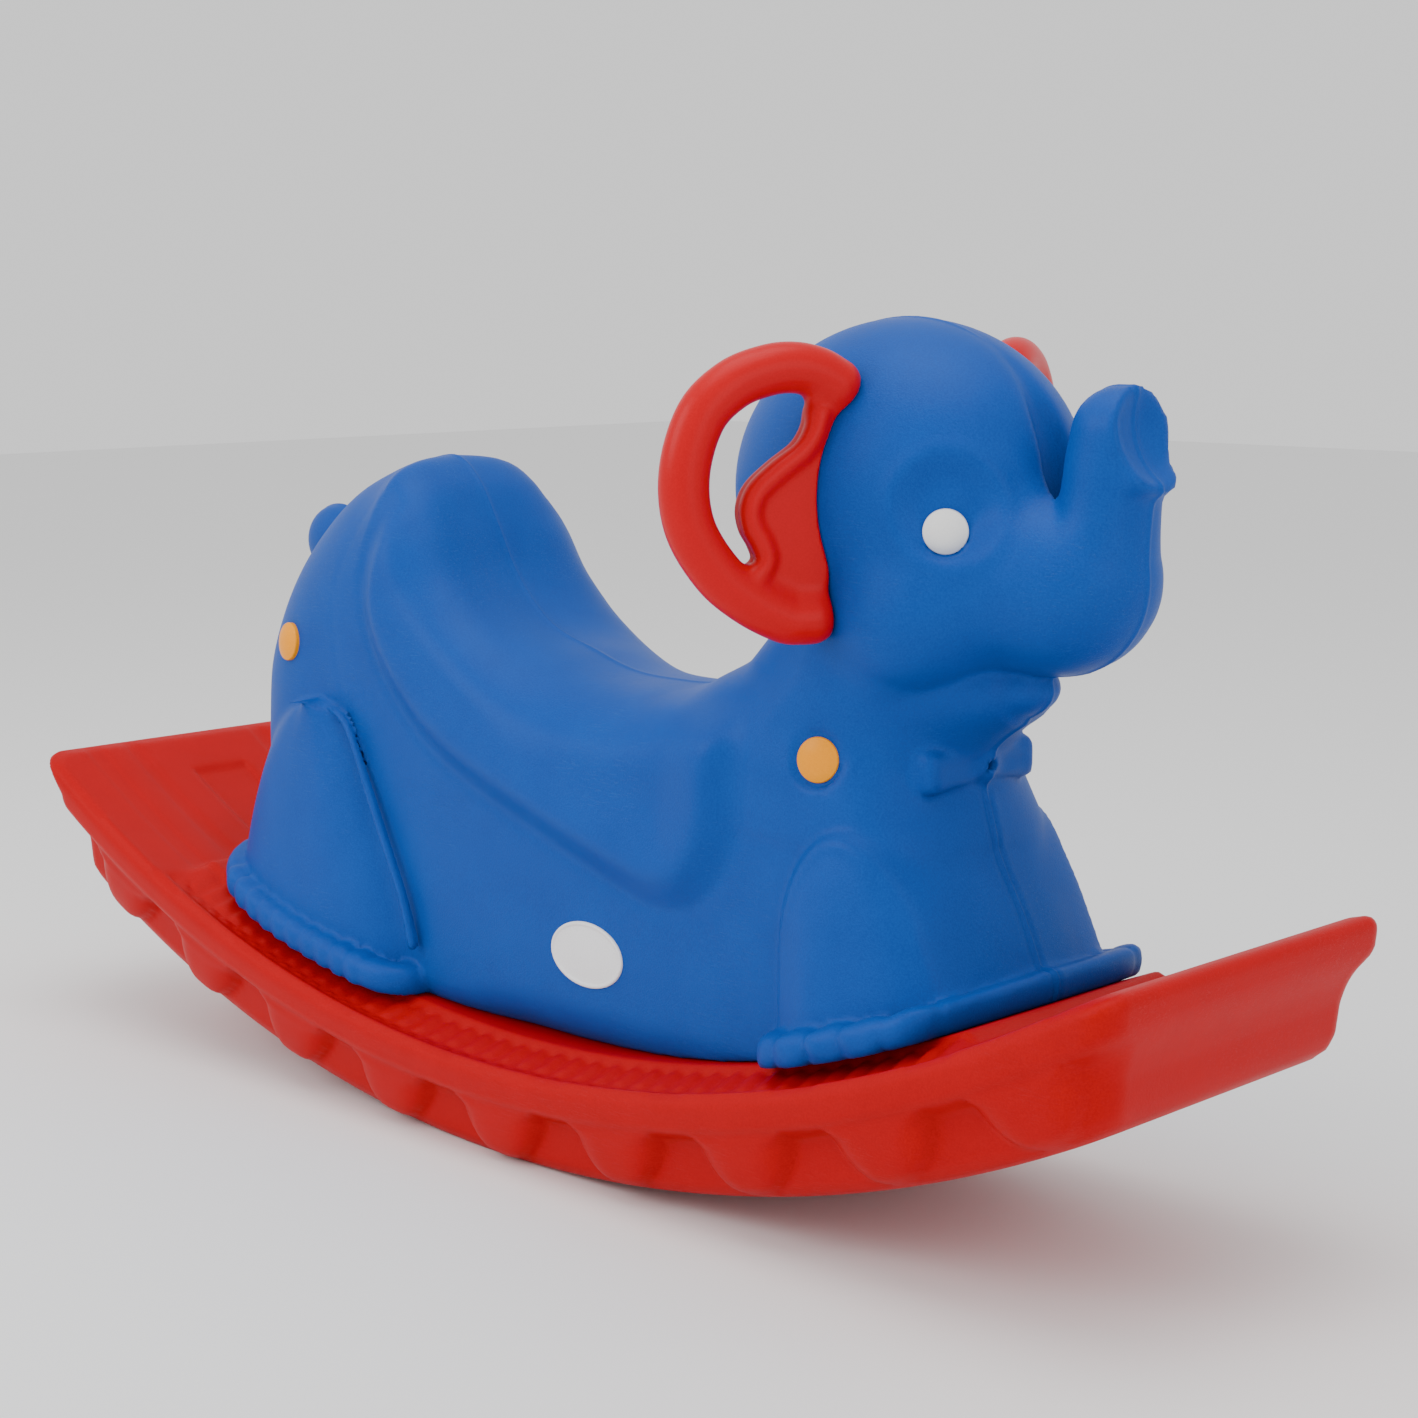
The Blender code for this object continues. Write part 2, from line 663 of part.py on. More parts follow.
# Arched leg that stands out from the flank: level rings that narrow along the body towards the
# top, lean by the given amount and step in across it only a little.
def leg(centre, half_length, top, side, power, lean):
    low = body_floor(centre - half_length * (1 if centre > 0 else -1)) - 14 * MM
    rings = []
    for i in range(LEG_LEVELS + 1):
        level = math.sin(math.pi / 2 * i / (LEG_LEVELS + 0.4))
        shrink = (1 - level**power)**(1 / power)
        middle = centre + lean * level
        across = LEG_FOOT_REACH + (LEG_TOP_REACH - LEG_FOOT_REACH) * level - LEG_ROOT
        ring = []
        for j in range(LEG_SIDES):
            turn = 2 * math.pi * j / LEG_SIDES
            c = math.cos(turn)
            s = math.sin(turn)
            reach = 1 / (abs(c)**LEG_SQUARENESS + abs(s)**LEG_SQUARENESS)**(1 / LEG_SQUARENESS)
            ring.append(Vector((middle + half_length * shrink * reach * c,
                                side * (LEG_ROOT + across * reach * s), low + (top - low) * level)))
        rings.append(ring)
    return loft("leg", rings)


# Rounded rim round a pair of feet, swelling into toes over part of its length.
def foot_rim(outline, toe_start, toe_end):
    fine = spline([Vector((x * MM, -y * MM)) for x, y in outline], 12)
    right = [fine[0]]
    runs = [0.0]
    run = 0.0
    toe_run = 0.0
    for a, b in zip(fine, fine[1:]):
        run += (b - a).length
        toes = toe_start * MM < b.x < toe_end * MM and abs(b.y) > 70 * MM
        toe_run += (b - a).length if toes else 0.0
        if run >= (TOE_PITCH / 4 if toes else 3 * TOE_PITCH / 5):
            right.append(b)
            runs.append(toe_run if toes else 0.0)
            run = 0.0
    right[-1] = fine[-1]
    plan = right + [Vector((p.x, -p.y)) for p in reversed(right[:-1])]
    runs += list(reversed(runs[:-1]))
    path = [Vector((p.x, p.y, body_floor(p.x) + FOOT_RIM_RADIUS - 2 * MM)) for p in plan]
    radii = [FOOT_RIM_RADIUS + TOE_SWELL * abs(math.sin(math.pi * r / TOE_PITCH)) for r in runs]
    return sweep("foot_rim", path, radii, 8, 1.0, Vector((0, 0, 1)))


# Head: upright sections along X whose top and width follow the skull and the cheeks.
def head_section(x, grow=0.0):
    skull = max(0.0, 1 - ((x - HEAD_CENTRE.x) / HEAD_RADII.x)**2)**0.5
    cheek = max(0.0, 1 - ((x - CHEEK_CENTRE.x) / CHEEK_RADII.x)**2)**0.5
    top = HEAD_CENTRE.z + HEAD_RADII.z * skull + grow
    low = min(HEAD_CENTRE.z - HEAD_RADII.z * skull, CHEEK_CENTRE.z - CHEEK_RADII.z * cheek) - grow
    ring = []
    steps = 18
    for j in range(steps):
        turn = 2 * math.pi * j / steps
        rise = -math.cos(turn)
        z = (top + low) / 2 + (top - low) / 2 * rise
        half = HEAD_RADII.y * max(0.0, skull**2 - ((z - HEAD_CENTRE.z) / HEAD_RADII.z)**2)**0.5
        fat = max(0.0, cheek**2 - ((z - CHEEK_CENTRE.z) / CHEEK_RADII.z)**2)**0.5
        if fat > 0:
            half = max(half, CHEEK_CENTRE.y * min(1.0, 2.5 * fat) + CHEEK_RADII.y * fat)
        half += grow
        half = max(half, 6 * MM * abs(math.sin(turn)))
        ring.append(Vector((x, half * (1 if math.sin(turn) > 0 else -1) if abs(math.sin(turn)) > 1e-6
                            else 0.0, z)))
    return ring


def head(grow=0.0):
    rear = HEAD_CENTRE.x - HEAD_RADII.x
    front = HEAD_CENTRE.x + HEAD_RADII.x
    ends = (1.2 * MM, 5 * MM, 12 * MM, 22 * MM)
    span = front - rear - 2 * ends[-1]
    stations = [rear + e for e in ends] + [rear + ends[-1] + span * i / 9 for i in range(1, 9)]
    stations += [front - e for e in reversed(ends)]
    rings = [head_section(x, grow) for x in stations]
    return loft("head", rings)


# Neck: level rings from inside the torso up into the head.
def neck(grow=0.0):
    levels = ((246, 104, 316, 77), (276, 108, 316, 78), (302, 122, 322, 78), (326, 146, 331, 77),
              (350, 158, 326, 74), (380, 168, 318, 66))
    rings = []
    for z, rear, front, half in levels:
        ring = []
        for j in range(20):
            turn = 2 * math.pi * j / 20
            c = math.cos(turn)
            s = math.sin(turn)
            reach = 1 / (abs(c)**2.3 + abs(s)**2.3)**(1 / 2.3)
            ring.append(Vector(((rear + front) / 2 * MM + ((front - rear) / 2 * MM + grow) * reach * c,
                                (half * MM + grow) * reach * s, z * MM)))
        rings.append(ring)
    return loft("neck", rings)


# Trunk: rings that fan round the crook between forehead and trunk, from the muzzle up to the tip.
# Each section gives its inner and outer point in the side view, from the head's centre, and
# its half-width.
def trunk():
    sections = (
        ((54, 21), (54, -91), TRUNK_ROOT_HALF + 5),
        ((76, 15), (87, -95), TRUNK_ROOT_HALF),
        ((92, 7), (126, -93), TRUNK_ROOT_HALF - 8),
        ((102, 3), (155, -78), TRUNK_ROOT_HALF - 15),
        ((109, 6), (171, -50), TRUNK_TIP_HALF + 8),
        ((113, 15), (174, -21), TRUNK_TIP_HALF + 2),
        ((116, 28), (172, 5), TRUNK_TIP_HALF - 2),
        ((118, 42), (173, 27), TRUNK_TIP_HALF),
        ((123, 56), (172, 46), TRUNK_TIP_HALF - 2),
        ((132, 65), (163, 60), TRUNK_TIP_HALF - 12),
    )
    rings = []
    for inner, outer, half in sections:
        high = HEAD_CENTRE + Vector((inner[0], 0, inner[1])) * MM
        low = HEAD_CENTRE + Vector((outer[0], 0, outer[1])) * MM
        rings.append([(high + low) / 2 + (high - low) / 2 * math.cos(2 * math.pi * j / TRUNK_SIDES)
                      + Vector((0, half * MM * math.sin(2 * math.pi * j / TRUNK_SIDES), 0))
                      for j in range(TRUNK_SIDES)])
    nose = loft("trunk", rings, None, HEAD_CENTRE + TRUNK_TIP)
    dish = ellipsoid("dish", HEAD_CENTRE + TRUNK_DISH, TRUNK_DISH_RADII, 14, 8)
    return combine(nose, dish, "DIFFERENCE")


# Bow on the chest: two wings that widen from the knot, with a vent hole through the knot.
def bow(body):
    for side in (-1, 1):
        rings = []
        for x, y, half, thick in ((318, 0, 8, 12), (319, 10, 8, 12), (318, 24, 11, 11),
                                  (313, 38, 14, 10), (309, 45, 14, 8)):
            ring = []
            for j in range(10):
                turn = 2 * math.pi * j / 10
                ring.append(Vector((x + thick * math.cos(turn), side * y, 280 + half * math.sin(turn))) * MM)
            rings.append(ring)
        combine(body, loft("wing", rings), "UNION")
    knot = ellipsoid("knot", Vector((319, 0, 281)) * MM, Vector((15, 11, 13)) * MM, 14, 8)
    combine(body, knot, "UNION")
    forward = aimed(Vector((318, 0, 280)) * MM, Vector((1, 0, 0)))
    hole = turned("vent", [(0, 0), (3.5 * MM, 0), (3.5 * MM, 40 * MM), (0, 40 * MM)], 12, forward)
    return combine(body, hole, "DIFFERENCE")


# Place and outward direction of a plug on a flank.
def flank_frame(place, side):
    step = 4 * MM
    x, z = place
    half = torso_half_width(x, z)
    lean_x = (torso_half_width(x + step, z) - torso_half_width(x - step, z)) / (2 * step)
    lean_z = (torso_half_width(x, z + step) - torso_half_width(x, z - step)) / (2 * step)
    outward = Vector((-lean_x, side, -lean_z)).normalized()
    return aimed(Vector((x, side * half, z)), outward)


# Frame of a front cap, on the steep side of the shoulder.
def shoulder_frame(side):
    x, z = FRONT_CAP_PLACE
    out = FRONT_CAP_OUTWARD
    place = Vector((x, side * torso_half_width(x, z), z))
    return aimed(place, Vector((out.x, side * out.y, out.z)).normalized())


# Frame on the skull in the middle of the dish round an eye.
def eye_dish_frame(side):
    x = EYE_ALONG / HEAD_RADII.x
    z = -EYE_DROP / HEAD_RADII.z
    y = math.sqrt(1 - x * x - z * z)
    place = HEAD_CENTRE + Vector((x * HEAD_RADII.x, side * y * HEAD_RADII.y, z * HEAD_RADII.z))
    outward = Vector((x / HEAD_RADII.x, side * y / HEAD_RADII.y, z / HEAD_RADII.z)).normalized()
    return aimed(place, outward)


# Shallow dish: a slice of a large sphere.
def eye_dish(side):
    floor = [(reach, reach**2 / (2 * EYE_DISH_CURVE) - EYE_DISH_DEPTH)
             for reach in (0, EYE_DISH_RADIUS / 2, EYE_DISH_RADIUS, EYE_DISH_RADIUS + RIM_MARGIN)]
    rim = floor[-1][0]
    profile = floor + [(rim, EYE_DISH_RADIUS), (0, EYE_DISH_RADIUS)]
    return turned("dish", profile, EYE_DISH_SIDES, eye_dish_frame(side))


def eye_frame(side):
    dish = eye_dish_frame(side)
    outward = dish.to_3x3() @ Vector((0, 0, 1))
    shift = EYE_IN_DISH - outward * EYE_IN_DISH.dot(outward)
    sink = EYE_DISH_DEPTH - shift.length_squared / (2 * EYE_DISH_CURVE)
    return Matrix.Translation(shift - outward * sink) @ dish


def plug_places():
    for side, sign in (("left", 1), ("right", -1)):
        yield f"eye_{side}", eye_frame(sign), EYE_DIAMETER
        yield f"cap_front_{side}", shoulder_frame(sign), CAP_DIAMETER
        yield f"cap_rear_{side}", flank_frame(REAR_CAP_PLACE, sign), CAP_DIAMETER


SOCKET_DEPTH = 2.5 * MM


def plug_socket(frame, diameter):
    shank = PLUG_SHANK_DIAMETER / 2 + GAP
    disc = diameter / 2 + GAP
    depth = SOCKET_DEPTH + PLUG_SHANK_LENGTH + 1 * MM
    profile = [(0, -depth), (shank, -depth), (shank, -SOCKET_DEPTH), (disc, -SOCKET_DEPTH),
               (disc, 30 * MM), (0, 30 * MM)]
    return turned("socket", profile, PLUG_SIDES, frame)


def make_plug(name, frame, diameter, mat):
    shank = PLUG_SHANK_DIAMETER / 2
    disc = diameter / 2
    seat = -SOCKET_DEPTH + GAP
    rim = seat + PLUG_RIM + SOCKET_DEPTH * 0.6
    profile = [(0, seat - PLUG_SHANK_LENGTH), (shank - 1 * MM, seat - PLUG_SHANK_LENGTH), (shank, seat),
               (disc, seat), (disc, rim)]
    for angle in (30, 58):
        turn = math.radians(angle)
        profile.append((disc * math.cos(turn), rim + (PLUG_DOME - SOCKET_DEPTH * 0.4) * math.sin(turn)))
    profile.append((0, rim + PLUG_DOME - SOCKET_DEPTH * 0.4))
    return finish(turned(name, profile, PLUG_SIDES, frame), mat)


def oval(length, height, count=24):
    return [(length / 2 * math.cos(2 * math.pi * j / count), height / 2 * math.sin(2 * math.pi * j / count))
            for j in range(count)]


# Frame of the side plate: X along the body, Z out of the right flank.
def badge_frame():
    x, z = BADGE_PLACE
    half = torso_half_width(x, z)
    lean = FLANK_DRAFT
    outward = Vector((0, -1, lean)).normalized()
    along = Vector((1, 0, 0))
    up = outward.cross(along)
    turn = Matrix((along, up, outward)).transposed().to_4x4()
    return Matrix.Translation(Vector((x, -half, z))) @ turn


def make_badge(mat):
    frame = badge_frame()
    low = -BADGE_SEAT + GAP
    high = low + BADGE_THICKNESS
    rings = []
    for height, inset in ((low, 0.0), (high - 0.8 * MM, 0.0), (high, 0.8 * MM)):
        outline = oval(BADGE_LENGTH - 2 * inset, BADGE_HEIGHT - 2 * inset)
        rings.append([frame @ Vector((p[0], p[1], height)) for p in outline])
    return finish(loft("side_badge", rings), mat)


# Ear frame on one side: X outward and back in the ear's plane, Y up, Z through its thickness.
def ear_frame(side):
    root = HEAD_CENTRE + Vector((EAR_ROOT.x, side * (HEAD_RADII.y - EAR_ROOT.y), EAR_ROOT.z))
    outward = Vector((-math.sin(EAR_SWEEP), side * math.cos(EAR_SWEEP), 0))
    up = Vector((0, 0, 1))
    turn = Matrix((outward, up, outward.cross(up))).transposed().to_4x4()
    return Matrix.Translation(root) @ turn


# Tongue of the ear, or its slot in the head when grown by the gap.
def ear_tongue(side, grow=0.0):
    frame = ear_frame(side)
    half_height = EAR_TONGUE_HEIGHT / 2 + grow
    half_thick = EAR_TONGUE_THICKNESS / 2 + grow
    inner = -EAR_TONGUE_DEPTH - 6 * MM - grow
    outer = 12 * MM
    outline = [(inner + 5 * MM, -half_height), (outer, -half_height), (outer, half_height),
               (inner + 5 * MM, half_height), (inner, half_height - 8 * MM), (inner, 8 * MM - half_height)]
    return extruded("tongue", outline, -half_thick, half_thick, frame)


def make_ear(name, side, mat):
    frame = ear_frame(side)
    loop = [(-16, 60), (2, 69), (18, 72), (34, 70.5), (54, 63), (72, 46), (82, 16), (79, -14), (63, -40),
            (44, -56), (22, -66), (4, -68), (-10, -66)]
    path = [frame @ Vector((p[0] * MM, p[1] * MM, 0)) for p in spline([Vector(p) for p in loop], 2)]
    radii = [EAR_TUBE_RADIUS] * len(path)
    normal = (frame.to_3x3() @ Vector((0, 0, 1))).normalized()
    ear = sweep(name, path, radii, 8, 1.0, normal)
    web = [(-18, 62), (0, 64), (11, 52), (12, 42), (17, 33), (31, 25), (45, 13), (50, 0), (48, -14),
           (43, -24), (40, -34), (50, -46), (38, -62), (12, -72), (-12, -68), (-20, 0)]
    line = spline([Vector((x * MM, y * MM)) for x, y in web], 2, True)
    centre = sum(line, Vector((0, 0))) / len(line)
    rings = []
    half = EAR_WEB_THICKNESS / 2
    for height, inset in ((-half, 3 * MM), (-half + 3 * MM, 0.0), (half - 3 * MM, 0.0), (half, 3 * MM)):
        ring = []
        for point in line:
            pull = (centre - point).normalized() * inset
            ring.append(frame @ Vector((point.x + pull.x, point.y + pull.y, height)))
        rings.append(ring)
    combine(ear, loft("web", rings), "UNION")
    combine(ear, head(GAP), "DIFFERENCE")
    combine(ear, neck(GAP), "DIFFERENCE")
    combine(ear, ear_tongue(side), "UNION")
    return finish(ear, mat, EAR_MERGE_DEGREES)


def make_body(mat):
    body = torso()
    body.name = "body_shell"
    combine(body, saddle(), "UNION")
    combine(body, seat_scoop(), "DIFFERENCE")
    for side in (-1, 1):
        combine(body, leg(REAR_LEG_CENTRE, REAR_LEG_HALF_LENGTH, REAR_LEG_TOP, side, 1.35,
                          REAR_LEG_LEAN), "UNION")
        combine(body, leg(FRONT_LEG_CENTRE, FRONT_LEG_HALF_LENGTH, FRONT_LEG_TOP, side, 2.2,
                          FRONT_LEG_LEAN), "UNION")
    combine(body, foot_rim([(238, 74), (243, 94), (260, 103), (300, 104), (334, 103), (350, 91),
                            (358, 56), (361, 0)], 250, 345), "UNION")
    combine(body, foot_rim([(-96, 78), (-99, 93), (-118, 102), (-170, 104), (-240, 104), (-288, 96),
                            (-314, 74), (-325, 40), (-328, 0)], -320, -200), "UNION")
    combine(body, neck(), "UNION")
    skull = head()
    combine(skull, trunk(), "UNION")
    for side in (-1, 1):
        combine(skull, eye_dish(side), "DIFFERENCE")
    combine(body, skull, "UNION")
    lip = ellipsoid("lip", LIP_PLACE, LIP_RADII, 14, 8)
    combine(body, lip, "UNION")
    tail = ellipsoid("tail", TAIL_PLACE, TAIL_RADII, 12, 8)
    combine(body, tail, "UNION")
    bow(body)
    combine(body, floor_cutter(), "DIFFERENCE")
    for side in (-1, 1):
        combine(body, ear_tongue(side, GAP), "DIFFERENCE")
    for _, frame, diameter in plug_places():
        combine(body, plug_socket(frame, diameter), "DIFFERENCE")
    pocket = extruded("pocket", oval(BADGE_LENGTH + 2 * GAP, BADGE_HEIGHT + 2 * GAP),
                      -BADGE_SEAT, 12 * MM, badge_frame())
    combine(body, pocket, "DIFFERENCE")
    for _, frame in bolt_places():
        combine(body, insert_pocket(frame), "DIFFERENCE")
    return finish(body, mat, MERGE_DEGREES)


# Everything below the plane of the raised deck, as wide as the feet.
def floor_cutter():
    rings = []
    for i in range(DECK_STATIONS + 5):
        x = DECK_REAR - 20 * MM + (DECK_FRONT - DECK_REAR + 40 * MM) * i / (DECK_STATIONS + 4)
        top = body_floor(x)
        rings.append([Vector((x, y, z)) for y, z in ((-HALF_WIDTH, -60 * MM), (HALF_WIDTH, -60 * MM),
                                                     (HALF_WIDTH, top), (-HALF_WIDTH, top))])
    return loft("floor", rings)


def insert_pocket(frame):
    flange = INSERT_FLANGE_DIAMETER / 2 + GAP
    barrel = INSERT_DIAMETER / 2 + GAP
    face = BOLT_GRIP
    sink = face + GAP + INSERT_FLANGE_THICKNESS + GAP
    deep = face + GAP + INSERT_LENGTH + GAP
    profile = [(0, face - 6 * MM), (flange, face - 6 * MM), (flange, sink), (barrel, sink), (barrel, deep),
               (0, deep)]
    return turned("pocket", profile, FASTENER_SIDES, frame)


def make_insert(name, frame, mat):
    face = BOLT_GRIP + GAP
    flange = INSERT_FLANGE_DIAMETER / 2
    barrel = INSERT_DIAMETER / 2
    bore = BOLT_DIAMETER / 2 + GAP
    end = face + INSERT_LENGTH
    profile = [(bore, face), (flange, face), (flange, face + INSERT_FLANGE_THICKNESS),
               (barrel, face + INSERT_FLANGE_THICKNESS), (barrel, end), (bore, end)]
    return finish(turned_ring(name, profile, FASTENER_SIDES, frame), mat)


def make_washer(name, frame, mat):
    high = -GAP
    low = high - WASHER_THICKNESS
    bore = BOLT_DIAMETER / 2 + GAP
    profile = [(bore, low), (WASHER_DIAMETER / 2, low), (WASHER_DIAMETER / 2, high), (bore, high)]
    return finish(turned_ring(name, profile, FASTENER_SIDES, frame), mat)


def make_bolt(name, frame, mat):
    under = -GAP - WASHER_THICKNESS - GAP
    top = under - BOLT_HEAD_HEIGHT
    tip = BOLT_GRIP + INSERT_LENGTH - 3 * MM
    shank = BOLT_DIAMETER / 2
    across = BOLT_HEAD_ACROSS / math.sqrt(3)
    bolt = turned(name, [(0, under - 1 * MM), (shank, under - 1 * MM), (shank, tip - 1 * MM),
                         (shank - 1 * MM, tip), (0, tip)], FASTENER_SIDES, frame)
    crown = turned("crown", [(0, top), (across - 1.2 * MM, top), (across, top + 0.8 * MM),
                             (across, under), (0, under)], 6, frame)
    combine(bolt, crown, "UNION")
    return finish(bolt, mat)


def main():
    clear_scene()
    red = material("red_plastic", (0.62, 0.008, 0.012), 0.42)
    blue = material("blue_plastic", (0.008, 0.105, 0.46), 0.5)
    white = material("white_plastic", (0.82, 0.81, 0.8), 0.3)
    orange = material("orange_plastic", (0.86, 0.34, 0.012), 0.35)
    label = material("label", (0.8, 0.79, 0.8), 0.35)
    steel = material("zinc_steel", (0.6, 0.6, 0.58), 0.4, 1.0)
    brass = material("brass", (0.7, 0.5, 0.2), 0.35, 1.0)
    make_base(red)
    make_body(blue)
    make_ear("ear_left", 1, red)
    make_ear("ear_right", -1, red)
    for name, frame, diameter in plug_places():
        make_plug(name, frame, diameter, white if name.startswith("eye") else orange)
    make_badge(label)
    for place, frame in bolt_places():
        make_bolt(f"base_bolt_{place}", frame, steel)
        make_washer(f"bolt_washer_{place}", frame, steel)
        make_insert(f"foot_insert_{place}", frame, brass)


main()
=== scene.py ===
# Rocking elephant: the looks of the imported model.
# Forms are worked out in millimetres and scaled to metres when they become meshes.
import itertools
import math

import bpy
import numpy as np
from mathutils import Matrix, Vector


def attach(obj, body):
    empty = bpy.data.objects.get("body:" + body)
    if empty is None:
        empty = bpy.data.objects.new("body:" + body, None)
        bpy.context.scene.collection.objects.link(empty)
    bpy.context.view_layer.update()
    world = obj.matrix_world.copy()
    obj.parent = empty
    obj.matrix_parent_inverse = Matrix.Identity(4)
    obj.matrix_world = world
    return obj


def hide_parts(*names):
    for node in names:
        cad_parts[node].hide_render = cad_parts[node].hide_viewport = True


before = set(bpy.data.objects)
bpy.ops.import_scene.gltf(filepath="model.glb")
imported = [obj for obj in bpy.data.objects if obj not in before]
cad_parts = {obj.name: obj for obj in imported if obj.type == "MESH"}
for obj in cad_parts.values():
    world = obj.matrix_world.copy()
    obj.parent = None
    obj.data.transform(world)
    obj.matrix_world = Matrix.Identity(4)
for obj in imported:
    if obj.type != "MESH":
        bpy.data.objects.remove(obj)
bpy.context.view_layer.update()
print("frame loaded:", len(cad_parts), "nodes")

mm = 0.001

# the rocker's circle: radius under the base, height of the rim over it, centre over the floor
rocker = {"radius": 1021.0, "rim": 66.0, "deck": 75.0, "centre": 1019.35, "halfLength": 505.0,
          "halfWidth": 132.0}
rimRadius = rocker["radius"] - rocker["rim"]


# rises from 0 to 1 between low and high with level ends
def smoothStep(low, high, value):
    t = np.clip((value - low) / (high - low), 0, 1)
    return t * t * (3 - 2 * t)


# union of two fields with a fillet of about k
def smoothMin(a, b, k):
    h = np.clip(0.5 + 0.5 * (b - a) / k, 0, 1)
    return b * (1 - h) + a * h - k * h * (1 - h)


# the same for an intersection
def smoothMax(a, b, k):
    return -smoothMin(-a, -b, k)


# smooth curve through rows of points, each span a cubic of its four nearest rows
def curveThrough(points, steps, closed=False):
    p = np.asarray(points, float)
    if closed:
        q = np.vstack([p[-1:], p, p[:2]])
        spans = len(p)
    else:
        q = np.vstack([2 * p[:1] - p[1:2], p, 2 * p[-1:] - p[-2:-1]])
        spans = len(p) - 1
    t = np.linspace(0, 1, steps, endpoint=False)[None, :, None]
    a, b, c, d = (q[i:i + spans, None, :] for i in range(4))
    rows = 0.5 * (2 * b + (c - a) * t + (2 * a - 5 * b + 4 * c - d) * t**2
                  + (3 * b - a - 3 * c + d) * t**3)
    rows = rows.reshape(-1, p.shape[1])
    return rows if closed else np.vstack([rows, p[-1:]])


# distance from each place to a line of points, with the length along the line at the nearest place
def lineDistance(u, v, line):
    best = np.full(np.broadcast(u, v).shape, 1e9)
    along = np.zeros_like(best)
    run = 0.0
    for a, b in zip(line, line[1:]):
        du, dv = b - a
        length = math.hypot(du, dv)
        if length < 1e-9:
            continue
        t = np.clip(((u - a[0]) * du + (v - a[1]) * dv) / length**2, 0, 1)
        d = np.hypot(u - a[0] - du * t, v - a[1] - dv * t)
        nearer = d < best
        best = np.where(nearer, d, best)
        along = np.where(nearer, run + t * length, along)
        run += length
    return best, along


# the same for a closed outline, positive inside it
def outlineDepth(u, v, outline):
    closed = np.vstack([outline, outline[:1]])
    distance, _ = lineDistance(u, v, closed)
    inside = np.zeros(distance.shape, bool)
    for a, b in zip(closed, closed[1:]):
        if abs(b[1] - a[1]) < 1e-12:
            continue
        crossing = (a[1] > v) != (b[1] > v)
        inside ^= crossing & (u < (b[0] - a[0]) * (v - a[1]) / (b[1] - a[1]) + a[0])
    return np.where(inside, distance, -distance)


# near-distance to an ellipsoid: |p| (|p| - 1) / |q|, with p the place over the radii and q over
# their squares
def ellipsoid(x, y, z, centre, radii):
    px, py, pz = ((c - m) / r for c, m, r in zip((x, y, z), centre, radii))
    k0 = np.sqrt(px**2 + py**2 + pz**2) + 1e-9
    k1 = np.sqrt((px / radii[0])**2 + (py / radii[1])**2 + (pz / radii[2])**2) + 1e-9
    return k0 * (k0 - 1) / k1


# round bar along a path; each row of the path is x, y, z and the radius there, and flatten
# makes it narrower (above 1) or wider (below 1) across the y direction
def bar(x, y, z, path, flatten=None):
    best = None
    for i, (a, b) in enumerate(zip(path, path[1:])):
        d = b[:3] - a[:3]
        t = np.clip(((x - a[0]) * d[0] + (y - a[1]) * d[1] + (z - a[2]) * d[2])
                    / (d @ d + 1e-9), 0, 1)
        radius = a[3] + (b[3] - a[3]) * t
        squeeze = 1.0 if flatten is None else flatten[i] + (flatten[i + 1] - flatten[i]) * t
        away = np.sqrt((x - a[0] - d[0] * t)**2 + ((y - a[1] - d[1] * t) * squeeze)**2
                       + (z - a[2] - d[2] * t)**2) - radius
        best = away if best is None else np.minimum(best, away)
    return best


# Value of a grid of numbers at any points, by trilinear mixing between its eight neighbours.
def readGrid(values, lines, points):
    spots = np.column_stack([np.interp(points[:, k], line, np.arange(len(line)))
                             for k, line in enumerate(lines)])
    low = np.minimum(spots.astype(int), np.array(values.shape) - 2)
    share = spots - low
    total = 0
    for corner in itertools.product((0, 1), repeat=3):
        weight = np.prod(np.where(corner, share, 1 - share), axis=1)
        total = total + weight * values[tuple((low + corner).T)]
    return total


